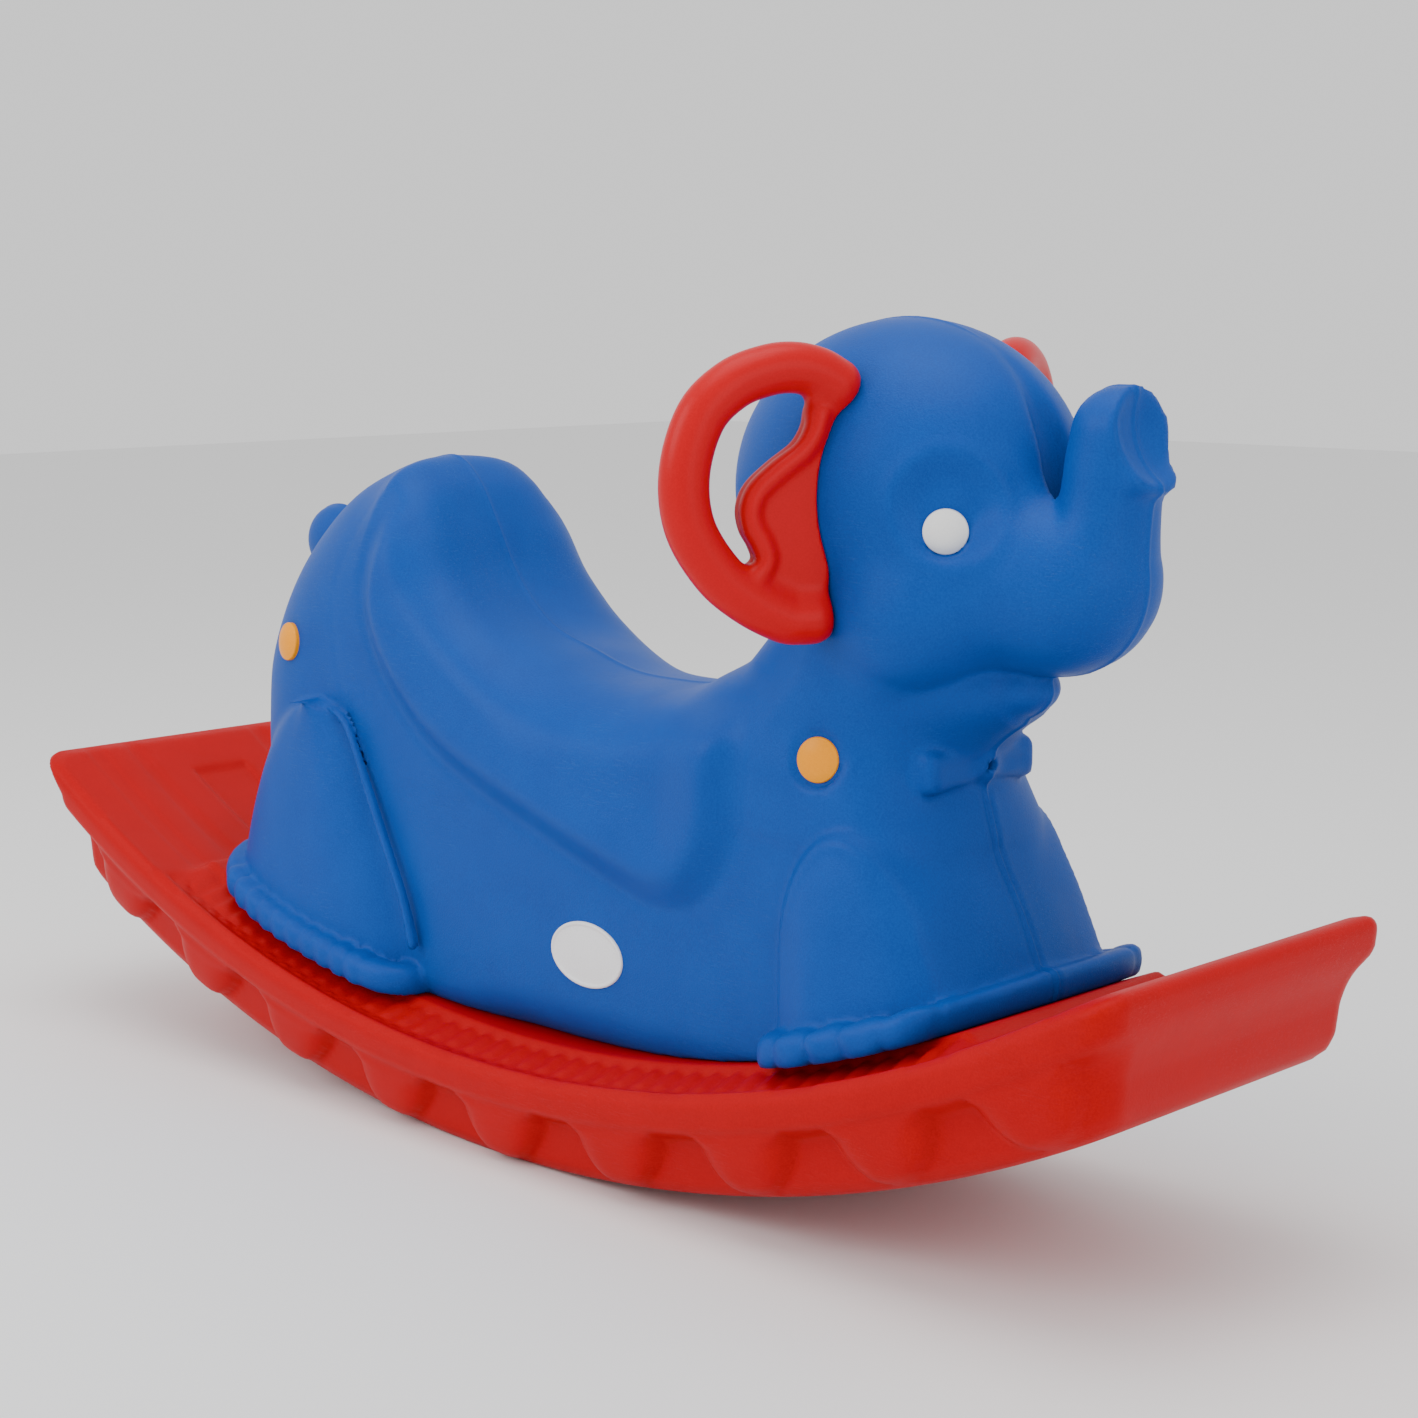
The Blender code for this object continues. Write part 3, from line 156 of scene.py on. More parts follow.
# Skin of a field: each cell that the zero level passes through gets one point, at the mean of the
# crossings on its edges, then moved by -F * grad F / |grad F|^2; each crossed edge gives a face.
def levelSkin(field, lines):
    inside = field < 0
    shape = tuple(n - 1 for n in field.shape)
    halves = (slice(0, -1), slice(1, None))
    corners = sum(inside[part].astype(np.int8) for part in itertools.product(halves, repeat=3))
    cells = np.argwhere((corners > 0) & (corners < 8))
    number = -np.ones(shape, int)
    number[tuple(cells.T)] = np.arange(len(cells))
    total = np.zeros((len(cells), 3))
    count = np.zeros(len(cells))
    for axis in range(3):
        for corner in itertools.product((0, 1), repeat=2):
            start = cells.copy()
            start[:, [k for k in range(3) if k != axis]] += corner
            end = start.copy()
            end[:, axis] += 1
            a = field[tuple(start.T)]
            b = field[tuple(end.T)]
            crossed = (a < 0) != (b < 0)
            spot = start.astype(float)
            spot[:, axis] += np.where(crossed, a / np.where(crossed, a - b, 1), 0)
            total += spot * crossed[:, None]
            count += crossed
    total /= count[:, None]
    verts = np.column_stack([np.interp(total[:, k], np.arange(len(line)), line)
                             for k, line in enumerate(lines)])
    slopes = np.gradient(field, *lines)
    for _ in range(2):
        slope = np.column_stack([readGrid(part, lines, verts) for part in slopes])
        size = np.maximum((slope**2).sum(1, keepdims=True), 0.04)
        verts = verts - np.clip(readGrid(field, lines, verts)[:, None] * slope / size, -1, 1)
    normals = np.column_stack([readGrid(part, lines, verts) for part in slopes])
    quads = []
    for axis, (p, q) in enumerate(((1, 2), (2, 0), (0, 1))):
        low = [slice(1, -1)] * 3
        high = [slice(1, -1)] * 3
        low[axis] = slice(0, -1)
        high[axis] = slice(1, None)
        spot = np.array(np.where(inside[tuple(low)] != inside[tuple(high)]))
        spot[p] += 1
        spot[q] += 1
        loop = []
        for dp, dq in ((-1, -1), (0, -1), (0, 0), (-1, 0)):
            step = spot.copy()
            step[p] += dp
            step[q] += dq
            loop.append(number[tuple(step)])
        faces = np.stack(loop, 1)
        outward = inside[tuple(spot)]
        faces[~outward] = faces[~outward][:, ::-1]
        quads.append(faces)
    return verts, np.vstack(quads), normals


# one mesh object from whole arrays, riding on the toy, with its normals from the field where given
def meshObject(name, verts, faces, material, normals=None, sharpAngle=None):
    mesh = bpy.data.meshes.new(name)
    verts = np.asarray(verts, np.float32)
    faces = np.asarray(faces, np.int32)
    width = faces.shape[1]
    mesh.vertices.add(len(verts))
    mesh.vertices.foreach_set("co", verts.ravel())
    mesh.loops.add(faces.size)
    mesh.loops.foreach_set("vertex_index", faces.ravel())
    mesh.polygons.add(len(faces))
    mesh.polygons.foreach_set("loop_start", np.arange(len(faces), dtype=np.int32) * width)
    mesh.update(calc_edges=True)
    mesh.validate()
    mesh.shade_smooth()
    if normals is not None:
        unit = normals / np.linalg.norm(normals, axis=1, keepdims=True)
        mesh.normals_split_custom_set_from_vertices(unit)
    if sharpAngle:
        mesh.set_sharp_from_angle(angle=math.radians(sharpAngle))
    mesh.materials.append(material)
    obj = bpy.data.objects.new(name, mesh)
    bpy.context.scene.collection.objects.link(obj)
    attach(obj, "root")
    return obj


# an empty shader group with its sockets
def nodeTree(name, inputs, outputs):
    group = bpy.data.node_groups.new(name, "ShaderNodeTree")
    for label, kind, value in inputs:
        socket = group.interface.new_socket(name=label, in_out="INPUT", socket_type=kind)
        socket.default_value = value
    for label, kind in outputs:
        group.interface.new_socket(name=label, in_out="OUTPUT", socket_type=kind)
    return group, group.nodes.new("NodeGroupInput"), group.nodes.new("NodeGroupOutput")


# one node with its settings, socket values and incoming links
def place(tree, kind, links=(), **values):
    node = tree.nodes.new(kind)
    for key, value in values.items():
        if hasattr(node, key):
            setattr(node, key, value)
        else:
            node.inputs[key.replace("_", " ")].default_value = value
    for socket, source in links:
        tree.links.new(source, node.inputs[socket])
    return node


# one Math node on two values, each a number or a link
def maths(tree, operation, a, b):
    node = tree.nodes.new("ShaderNodeMath")
    node.operation = operation
    for i, value in enumerate((a, b)):
        if isinstance(value, (int, float)):
            node.inputs[i].default_value = value
        else:
            tree.links.new(value, node.inputs[i])
    return node.outputs[0]


# grain of a moulded plastic skin: fine pebbling, broad waves and short rubbed scratches
def makeGrain():
    tree, source, result = nodeTree(
        "mouldedGrain",
        [("Pebble", "NodeSocketFloat", 900.0), ("Wave", "NodeSocketFloat", 30.0),
         ("Scratch", "NodeSocketFloat", 160.0)],
        [("Height", "NodeSocketFloat"), ("Tone", "NodeSocketFloat"), ("Rubbed", "NodeSocketFloat")])
    where = place(tree, "ShaderNodeTexCoord").outputs["Object"]
    pebble = place(tree, "ShaderNodeTexNoise",
                   [("Vector", where), ("Scale", source.outputs["Pebble"])], Detail=3.0, Roughness=0.6)
    wave = place(tree, "ShaderNodeTexNoise",
                 [("Vector", where), ("Scale", source.outputs["Wave"])], Detail=2.0, Roughness=0.5)
    along = place(tree, "ShaderNodeMapping", [("Vector", where)])
    along.inputs["Scale"].default_value = (0.25, 1.0, 2.2)
    along.inputs["Rotation"].default_value = (0.3, 0.5, 0.2)
    scratch = place(tree, "ShaderNodeTexNoise",
                    [("Vector", along.outputs[0]), ("Scale", source.outputs["Scratch"])],
                    Detail=5.0, Roughness=0.75, Distortion=0.4)
    patch = place(tree, "ShaderNodeTexNoise", [("Vector", where)], Scale=9.0, Detail=3.0)
    streak = place(tree, "ShaderNodeMapRange", [("Value", scratch.outputs[0])])
    streak.inputs["From Min"].default_value = 0.56
    streak.inputs["From Max"].default_value = 0.72
    spread = place(tree, "ShaderNodeMapRange", [("Value", patch.outputs[0])])
    spread.inputs["From Min"].default_value = 0.46
    spread.inputs["From Max"].default_value = 0.62
    rubbed = maths(tree, "MULTIPLY", streak.outputs[0], spread.outputs[0])
    fine = maths(tree, "MULTIPLY", pebble.outputs[0], 0.35)
    broad = maths(tree, "MULTIPLY", wave.outputs[0], 0.9)
    grained = maths(tree, "ADD", fine, broad)
    height = maths(tree, "ADD", grained, maths(tree, "MULTIPLY", rubbed, 0.25))
    tree.links.new(height, result.inputs["Height"])
    speckle = place(tree, "ShaderNodeMapRange", [("Value", pebble.outputs[0])])
    speckle.inputs["From Min"].default_value = 0.36
    speckle.inputs["From Max"].default_value = 0.64
    tone = maths(tree, "ADD", maths(tree, "MULTIPLY", wave.outputs[0], 0.5),
                 maths(tree, "MULTIPLY", speckle.outputs[0], 0.5))
    tree.links.new(tone, result.inputs["Tone"])
    tree.links.new(rubbed, result.inputs["Rubbed"])
    return tree


grainGroup = makeGrain()


# Moulded plastic: its colour runs to the darker shade with the grain and to the rubbed colour along
# scratches, and the grain drives roughness and bump too.
def plastic(name, colour, shade, rubbedColour, roughness, bump, pebble=900.0, scratch=420.0,
            rubAmount=0.22, sheen=0.14):
    material = bpy.data.materials.new(name)
    material.use_nodes = True
    tree = material.node_tree
    shader = tree.nodes["Principled BSDF"]
    grain = tree.nodes.new("ShaderNodeGroup")
    grain.node_tree = grainGroup
    grain.inputs["Pebble"].default_value = pebble
    grain.inputs["Scratch"].default_value = scratch
    tone = place(tree, "ShaderNodeMix", data_type="RGBA")
    tone.inputs[6].default_value = (*shade, 1)
    tone.inputs[7].default_value = (*colour, 1)
    tree.links.new(grain.outputs["Tone"], tone.inputs[0])
    rub = place(tree, "ShaderNodeMix", data_type="RGBA")
    rub.inputs[7].default_value = (*rubbedColour, 1)
    tree.links.new(maths(tree, "MULTIPLY", grain.outputs["Rubbed"], rubAmount), rub.inputs[0])
    tree.links.new(tone.outputs[2], rub.inputs[6])
    tree.links.new(rub.outputs[2], shader.inputs["Base Color"])
    spread = 0.12
    gloss = maths(tree, "MULTIPLY", grain.outputs["Tone"], spread)
    gloss = maths(tree, "ADD", gloss, roughness - spread / 2)
    tree.links.new(gloss, shader.inputs["Roughness"])
    relief = place(tree, "ShaderNodeBump", [("Height", grain.outputs["Height"])], Strength=bump,
                   Distance=mm)
    tree.links.new(relief.outputs[0], shader.inputs["Normal"])
    shader.inputs["Specular IOR Level"].default_value = sheen
    return material


# name, colour, shade, rubbed colour, roughness and bump of each plastic
finishes = {
    "blue": plastic("bluePolyethylene", (0.0, 0.074, 0.38), (0.0, 0.045, 0.27), (0.04, 0.2, 0.54),
                    0.44, 0.55),
    "red": plastic("redPolyethylene", (0.49, 0.0, 0.004), (0.38, 0.0, 0.002), (0.6, 0.04, 0.05),
                   0.42, 0.45, sheen=0.08),
    "earRed": plastic("redEarPlastic", (0.56, 0.0, 0.006), (0.48, 0.0, 0.004), (0.7, 0.06, 0.06),
                      0.32, 0.14, rubAmount=0.15),
    "white": plastic("whiteEyePlastic", (0.84, 0.84, 0.82), (0.78, 0.78, 0.77), (0.9, 0.9, 0.9),
                     0.3, 0.06, rubAmount=0.1),
    "orange": plastic("orangeCapPlastic", (0.94, 0.34, 0.0), (0.86, 0.29, 0.0), (0.95, 0.6, 0.2),
                      0.32, 0.08, rubAmount=0.15),
    "label": plastic("bareLabel", (0.86, 0.86, 0.87), (0.8, 0.8, 0.81), (0.9, 0.9, 0.9),
                     0.28, 0.04, rubAmount=0.1),
}
print("finishes made")


# Body, in millimetres: the torso's own sizes come first, then one group for each form that joins it.
bodyShape = {
    "halfWidth": 84.0, "draft": 0.02, "rumpRound": 86.0, "backRound": 36.0, "seatRound": 50.0,
    "chestRound": 36.0, "rear": -325.0, "front": 366.0, "rumpTop": 444.0, "seatLow": 303.0,
    "cell": 3.35, "middleLines": (0, 0.9, 1.9, 3.1, 4.8, 7.2),
    "saddle": {"relief": 11.5, "edge": 24.0, "hollow": 5.0, "dishDepth": 7.0, "dishHalf": 68.0,
               "lineDepth": 1.1, "foldDepth": 0.7},
    "head": {"centre": (258, 0, 435), "radii": (112, 88, 98.7), "cheek": (300, 30, 385),
             "cheekRadii": (60, 48, 52), "jaw": (295, 46, 363), "jawRadii": (46, 38, 38)},
    "chin": {"centre": (311, 0, 327), "radii": (54, 34, 23), "fillet": 34},
    "eye": {"along": 80.0, "drop": 8.0, "shift": (-1.0, 0.0, -9.0), "dishDepth": 5.0,
            "dishCurve": 900.0, "hollowRadius": 32.0, "hollowDepth": 6.4, "lip": 1.2},
    # centre, half-length, top, power, lean and low end of the two forms of the rear leg
    "rearLeg": ((-212, 113, 270, 1.35, 4, 88), (-236, 92, 268, 2.4, 22, 88)),
    "frontLeg": {"step": 4.6, "swell": 15.0, "bead": 1.6, "low": 76.0, "high": 248.0},
    "tail": {"centre": (-290, 0, 369), "radii": (33, 17, 27), "fillet": 5},
    "trunk": {"lip": (426, 0, 447), "lipRadii": (9, 20, 8), "mouth": (457, 0, 480),
              "mouthRadii": (41, 42, 40), "mouthEdge": 2.2, "root": (376, 0, 430),
              "rootRadii": (8, 15, 17)},
    "bow": {"knot": (312, 0, 281), "knotRadii": (13, 10, 13), "height": 280.5, "reach": 47.5,
            "front": 322.5, "hole": 3.6, "holeHeight": 280},
    "seats": {"cap": 16.5, "capRise": 0.2, "eye": 13.6, "eyeRise": -0.4, "fillet": 2.5},
    # toes: where they start and end along the rim, and their pitch
    "rim": {"radius": 11.0, "rise": 9.5, "toePad": 5.4, "toeGap": 4.2, "frontToes": (12, 142, 26),
            "rearToes": (40, 205, 16.5)},
    "nail": (9.5, 6, 8),
    "seam": {"ridge": 0.9, "chestFold": 1.6, "chestGroove": 2.0},
}

# where the orange caps sit and which way they face, on the elephant's left
capPlaces = {"front": ((255, 73.5, 284), (0.26, 0.958, 0.12)),
             "rear": ((-249, 78.2, 306), (-0.168, 0.98, 0.112))}

# neck: heights, and its rear, front and half-width at each
neckRows = {"height": (246, 276, 302, 314, 326, 350, 380), "rear": (104, 106, 116, 127, 148, 172, 182),
            "front": (316, 316, 322, 327, 331, 326, 318), "half": (77, 78, 78, 78, 77, 74, 66)}

# channel down the forehead to the root of the trunk; rows are x, y, z, radius and squeeze
browPath = [(284, 0, 534.5, 1.2, 0.9), (296, 0, 531.5, 2.4, 0.8), (310.4, 0, 527, 3.2, 0.75),
            (324, 0, 520.3, 3.8, 0.7), (333.6, 0, 512.6, 4.4, 0.68), (343.8, 0, 502.9, 5.2, 0.64),
            (350.8, 0, 492.8, 5.8, 0.6), (357, 0, 479.3, 6.6, 0.6), (363, 0, 465, 7.6, 0.62),
            (367, 0, 450, 8.2, 0.64), (370.6, 0, 436, 8.8, 0.66), (373.5, 0, 424, 8.4, 0.66),
            (376, 0, 413, 6.0, 0.66)]

# trunk, bent round the crook; rows are x, z, radius and half-width
trunkRows = [(318, 393, 58, 60), (346, 391, 55.5, 58), (377, 388.5, 49, 48), (389, 401, 38, 39),
             (398.5, 418, 29, 32), (402, 437, 27, 29), (404, 455, 26.5, 28), (407, 472, 26, 27)]

# front leg's arch and the saddle's crest on the flank, x and z
archRows = [(240, 108), (237, 128), (236, 160), (237, 188), (242, 208), (251, 226), (264, 240),
            (278, 245), (293, 243), (311, 232), (330, 211), (341, 188), (351, 168), (358, 148),
            (362, 126), (362, 90), (300, 84), (240, 92)]
crestRows = [(-190, 470), (-150, 440), (-122, 412), (-131, 388), (-138, 364), (-139, 341), (-129, 317),
             (-109, 293), (-80, 270), (-40, 251), (10, 234), (57, 219), (103, 206), (132, 200),
             (152, 205), (167, 222), (174, 242), (176, 269), (180, 292), (192, 318), (205, 350),
             (150, 420), (0, 460)]
foldRows = [(-168, 410), (-190, 362), (-195, 331), (-190, 294), (-177, 263), (-143, 207), (-118, 162)]

# ridge along the rear leg's front edge; rows are x, y, z and radius
ridgeRows = [(-208, 83, 268, 1.5), (-190, 85.5, 265, 2.6), (-172, 86.5, 255, 3.2),
             (-152, 87.5, 221, 3.4), (-131, 88.5, 182, 3.4), (-111, 89.5, 144, 3.4),
             (-101, 90, 114, 3.8)]

# rims round the feet, x and y, and the front toes' nails
frontRim = [(238, 74), (243, 94), (260, 103), (300, 104), (334, 103), (350, 91), (358, 56), (361, 0)]
rearRim = [(-107, 78), (-110, 93), (-128, 102), (-170, 104), (-240, 104), (-288, 96), (-314, 74),
           (-325, 40), (-328, 0)]
nailRows = [(266, 111), (291, 113), (316, 112.5), (336, 108), (351, 97)]


# height of the layer h over the rocker's underside, at x
def layerHeight(x, h):
    return rocker["centre"] - np.sqrt((rocker["radius"] - h)**2 - x * x)


# side outline of the torso: a curve over rump, seat and chest, closed below the feet
def torsoOutline():
    shape = bodyShape
    rear, front, top, seat = shape["rear"], shape["front"], shape["rumpTop"], shape["seatLow"]
    crest = [(rear, 215), (rear, 248), (rear + 4, 290), (rear + 18, 327), (rear + 39, 361), (-259, 390),
             (-225, top - 28), (-187, top - 12), (-154, top), (-127, top - 17), (-107, top - 47),
             (-88, 365), (-63, 340), (-27, 320), (22, seat + 2), (75, seat), (109, seat + 3),
             (160, 318), (230, 312), (285, 290), (316, 254), (330, 224), (345, 198), (356, 174),
             (front - 1.5, 152), (front, 138)]
    return np.vstack([curveThrough(crest, 6), [(front, 60), (rear, 60)]])


# Saddle: the flank swells by a level step to a rolled edge at the crest and falls back a little
# inside it; two shallow lines, each a bell curve of the distance to it, are drawn round it.
def saddleRelief(x, z):
    shape = bodyShape["saddle"]
    depth = outlineDepth(x, z, curveThrough(crestRows, 6, True))
    fold = lineDistance(x, z, curveThrough(foldRows, 6))[0]
    roll = shape["relief"] * smoothStep(-shape["edge"], 2, depth)
    roll = roll - shape["hollow"] * smoothStep(2, 42, depth)
    roll = roll - shape["lineDepth"] * np.exp(-((depth + shape["edge"]) / 3.0)**2)
    return roll - shape["foldDepth"] * np.exp(-(fold / 1.6)**2)


# Torso: flat flanks whose edge over the side outline is a quarter superellipse. With n the share of
# the rounding still to go and y / half the share across, the ratio is (n^p + (y / half)^p)^(1 / p),
# and the field is ratio - 1 over its own slope, so that it stays a distance near the skin.
def torsoField(x, y, z):
    shape, saddle = bodyShape, bodyShape["saddle"]
    x2, z2 = np.broadcast_arrays(x[:, 0, :], z[:, 0, :])
    depth = outlineDepth(x2, z2, torsoOutline())
    rear = smoothStep(-85, -190, x2)
    front = smoothStep(190, 300, x2)
    seat = smoothStep(-70, 10, x2) * (1 - front)
    turn = shape["backRound"] + (shape["rumpRound"] - shape["backRound"]) * rear
    turn = turn + (shape["seatRound"] - shape["backRound"]) * seat
    turn = turn + (shape["chestRound"] - shape["backRound"]) * front
    power = 2.4 - 0.3 * rear + 0.1 * front
    half = shape["halfWidth"] - shape["draft"] * (z2 - 100) - 10 * smoothStep(250, 360, x2)
    half = half + saddleRelief(x2, z2) * smoothStep(2, 34, depth)
    dish = saddle["dishDepth"] * smoothStep(-190, -150, x2) * smoothStep(-5, -66, x2)
    depth, turn, power, half, dish = (v[:, None, :] for v in (depth, turn, power, half, dish))
    across = 1 - smoothStep(0.1, 1.0, y / saddle["dishHalf"])
    near = np.clip(1 - (depth - dish * across) / turn, 0, None)
    ratio = (near**power + (y / half)**power)**(1 / power)
    fall = np.hypot(near**(power - 1) / turn, (y / half)**(power - 1) / half)
    slope = np.maximum(ratio, 0.3)**(1 - power) * fall
    rounded = np.clip((ratio - 1) / np.maximum(slope, 1e-4), -60, 400)
    return np.where(near <= 0, np.maximum(y - half, -60), rounded)


# Rear leg: at each height a superellipse in plan, which narrows to an arch along the body.
def legField(x, y, z, centre, halfLength, top, power, lean, low):
    level = np.clip((z - low) / (top - low), 0, 1.05)
    shrink = np.clip(1 - level**power, 1e-3, None)**(1 / power)
    middle = centre + lean * level
    inner, outer, plan = 40, 104 - 13 * level, 2.7
    reach = outer - inner
    ratio = (np.abs((x - middle) / (halfLength * shrink))**plan
             + np.abs((y - inner) / reach)**plan)**(1 / plan)
    return np.maximum((ratio - 1) * np.minimum(halfLength * shrink, reach), (z - top) * 0.8)


# Neck: at each height a superellipse between its rear and front, narrower towards the rear.
def neckField(x, y, z):
    rows = neckRows
    rear, front, half = (np.interp(z, rows["height"], rows[key]) for key in ("rear", "front", "half"))
    middle, reach = (rear + front) / 2, (front - rear) / 2
    half = half * (1 - 0.3 * np.clip((middle - x) / reach, 0, 1))
    ratio = (np.abs((x - middle) / reach)**2.3 + np.abs(y / half)**2.3)**(1 / 2.3)
    return np.maximum((ratio - 1) * half, np.maximum(z - 384, 240 - z))


# skull, cheek and jaw: three ellipsoids joined by fillets
def headField(x, y, z):
    head = bodyShape["head"]
    skull = ellipsoid(x, y, z, head["centre"], head["radii"])
    cheek = ellipsoid(x, y, z, head["cheek"], head["cheekRadii"])
    jaw = ellipsoid(x, y, z, head["jaw"], head["jawRadii"])
    return smoothMin(smoothMin(skull, cheek, 16), jaw, 18)


# Trunk: a bar through its rows with a lip below its mouth and a dished end with a raised edge.
def trunkField(x, y, z):
    shape = bodyShape["trunk"]
    rows = curveThrough(trunkRows, 5)
    path = np.column_stack([rows[:, 0], 0 * rows[:, 0], rows[:, 1], rows[:, 2]])
    trunk = bar(x, y, z, path, rows[:, 2] / rows[:, 3])
    trunk = smoothMin(trunk, ellipsoid(x, y, z, shape["lip"], shape["lipRadii"]), 7)
    dish = ellipsoid(x, y, z, shape["mouth"], shape["mouthRadii"])
    trunk = trunk - shape["mouthEdge"] * np.exp(-((dish - 3) / 3.2)**2) * (trunk > -8)
    return smoothMax(trunk, -dish, 3)


# middle of an eye's dish on the skull, the way it faces, and the eye's own place in the dish
def eyeFrame():
    shape = bodyShape["eye"]
    centre, radii = (np.array(bodyShape["head"][key], float) for key in ("centre", "radii"))
    unit = np.array([shape["along"] / radii[0], 0, -shape["drop"] / radii[2]])
    unit[1] = math.sqrt(1 - unit @ unit)
    dishPlace = centre + unit * radii
    outward = unit / radii
    outward /= np.linalg.norm(outward)
    shift = np.array(shape["shift"])
    shift = shift - outward * (shift @ outward)
    sink = shape["dishDepth"] - (shift @ shift) / (2 * shape["dishCurve"])
    return dishPlace, outward, dishPlace + shift - outward * sink


# Rim round the feet: a squarish bar on the deck, whose radius swells to toe pads between two lengths.
def rimField(x, y, z, outline, toesFrom, toesTo, pitch):
    shape = bodyShape["rim"]
    distance, along = lineDistance(x[:, :, 0], y[:, :, 0], curveThrough(outline, 10))
    distance, along = distance[:, :, None], along[:, :, None]
    toes = smoothStep(toesFrom - 2, toesFrom + 2, along) * smoothStep(toesTo + 2, toesTo - 2, along)
    pad = np.abs(np.sin(math.pi * (along - toesFrom) / pitch))**0.3
    radius = shape["radius"] + toes * (shape["toePad"] * pad - shape["toeGap"])
    rise = z - layerHeight(x, rocker["deck"]) - shape["rise"]
    return (np.abs(distance)**2.6 + np.abs(rise)**2.6)**(1 / 2.6) - radius


# Bow wing: a rounded box that grows towards its end, creased lengthwise.
def wingField(x, y, z):
    shape = bodyShape["bow"]
    share = np.clip(y / 46, 0, 1.2)
    rise = z - shape["height"] + 1.5 * share
    high = 8 + 5.5 * share
    crease = 2.4 * np.exp(-(rise / 2.4)**2) + 1.2 * np.exp(-((np.abs(rise) - 7 * share - 1) / 1.8)**2)
    crease = crease * smoothStep(0.1, 0.35, share) * smoothStep(1.02, 0.7, share)
    front = shape["front"] - 4 * share - crease
    box = smoothMax(np.abs(rise) - high, x - front, 8)
    return smoothMax(smoothMax(box, y - shape["reach"], 8), 290 - x + 0 * y, 2)


# the bow's hole, a level bore along x
def bowHole(x, y, z):
    return np.hypot(y, z - bodyShape["bow"]["holeHeight"]) - bodyShape["bow"]["hole"] + 0 * x


# joins a form to the field, or cuts it out, in the part of the grid between low and high
def blendIn(field, grid, low, high, shape, fillet, cut=False):
    window = tuple(slice(np.searchsorted(line, a), np.searchsorted(line, b))
                   for line, a, b in zip(grid, low, high))
    x = grid[0][window[0]][:, None, None]
    y = grid[1][window[1]][None, :, None]
    z = grid[2][window[2]][None, None, :]
    local = shape(x, y, z)
    fillet = fillet(x, y, z) if callable(fillet) else fillet
    if cut:
        field[window] = smoothMax(field[window], -local, fillet)
    else:
        field[window] = smoothMin(field[window], local, fillet)


# Front leg: what its arch adds to whatever flank lies under it, as a step at the outline, a swell
# that grows inwards and downwards, and a bead inside the edge.
def archRelief(x, z):
    shape = bodyShape["frontLeg"]
    depth = outlineDepth(*np.broadcast_arrays(x[:, 0], z[0]), curveThrough(archRows, 4, True))
    level = np.clip((z[0] - shape["low"]) / (shape["high"] - shape["low"]), 0, 1)
    bulge = (4 + shape["swell"] * (1 - level)) * (1 - (1 - np.clip(depth / 42, 0, 1))**2)
    bead = shape["bead"] * np.exp(-((depth - 4.5) / 3.2)**2)
    return shape["step"] * smoothStep(-3, 3.5, depth) + bulge + bead


# Eye dish: the field is raised by a level step of the distance from the dish's axis, and lowered in
# a narrow lip round it; both fade towards the cheek.
def addEyeDish(field, grid, dishPlace, outward):
    shape = bodyShape["eye"]
    window = tuple(slice(*np.searchsorted(line, ends)) for line, ends in
                   zip(grid, ((280, 400), (10, 120), (380, 490))))
    away = [grid[k][window[k]].reshape([-1 if n == k else 1 for n in range(3)]) - dishPlace[k]
            for k in range(3)]
    along = sum(a * o for a, o in zip(away, outward))
    apart = np.sqrt(np.maximum(sum((a - up)**2 for a, up in zip(away, (0, 0, 4))) - along**2, 0))
    fade = smoothStep(-46, -20, away[2] + 0 * apart)
    hollow = shape["hollowDepth"] * smoothStep(shape["hollowRadius"], 12, apart) * (0.3 + 0.7 * fade)
    lip = shape["lip"] * np.exp(-((apart - shape["hollowRadius"] - 1) / 4)**2) * fade
    field[window] += (hollow - lip) * smoothStep(26, 12, np.abs(along))


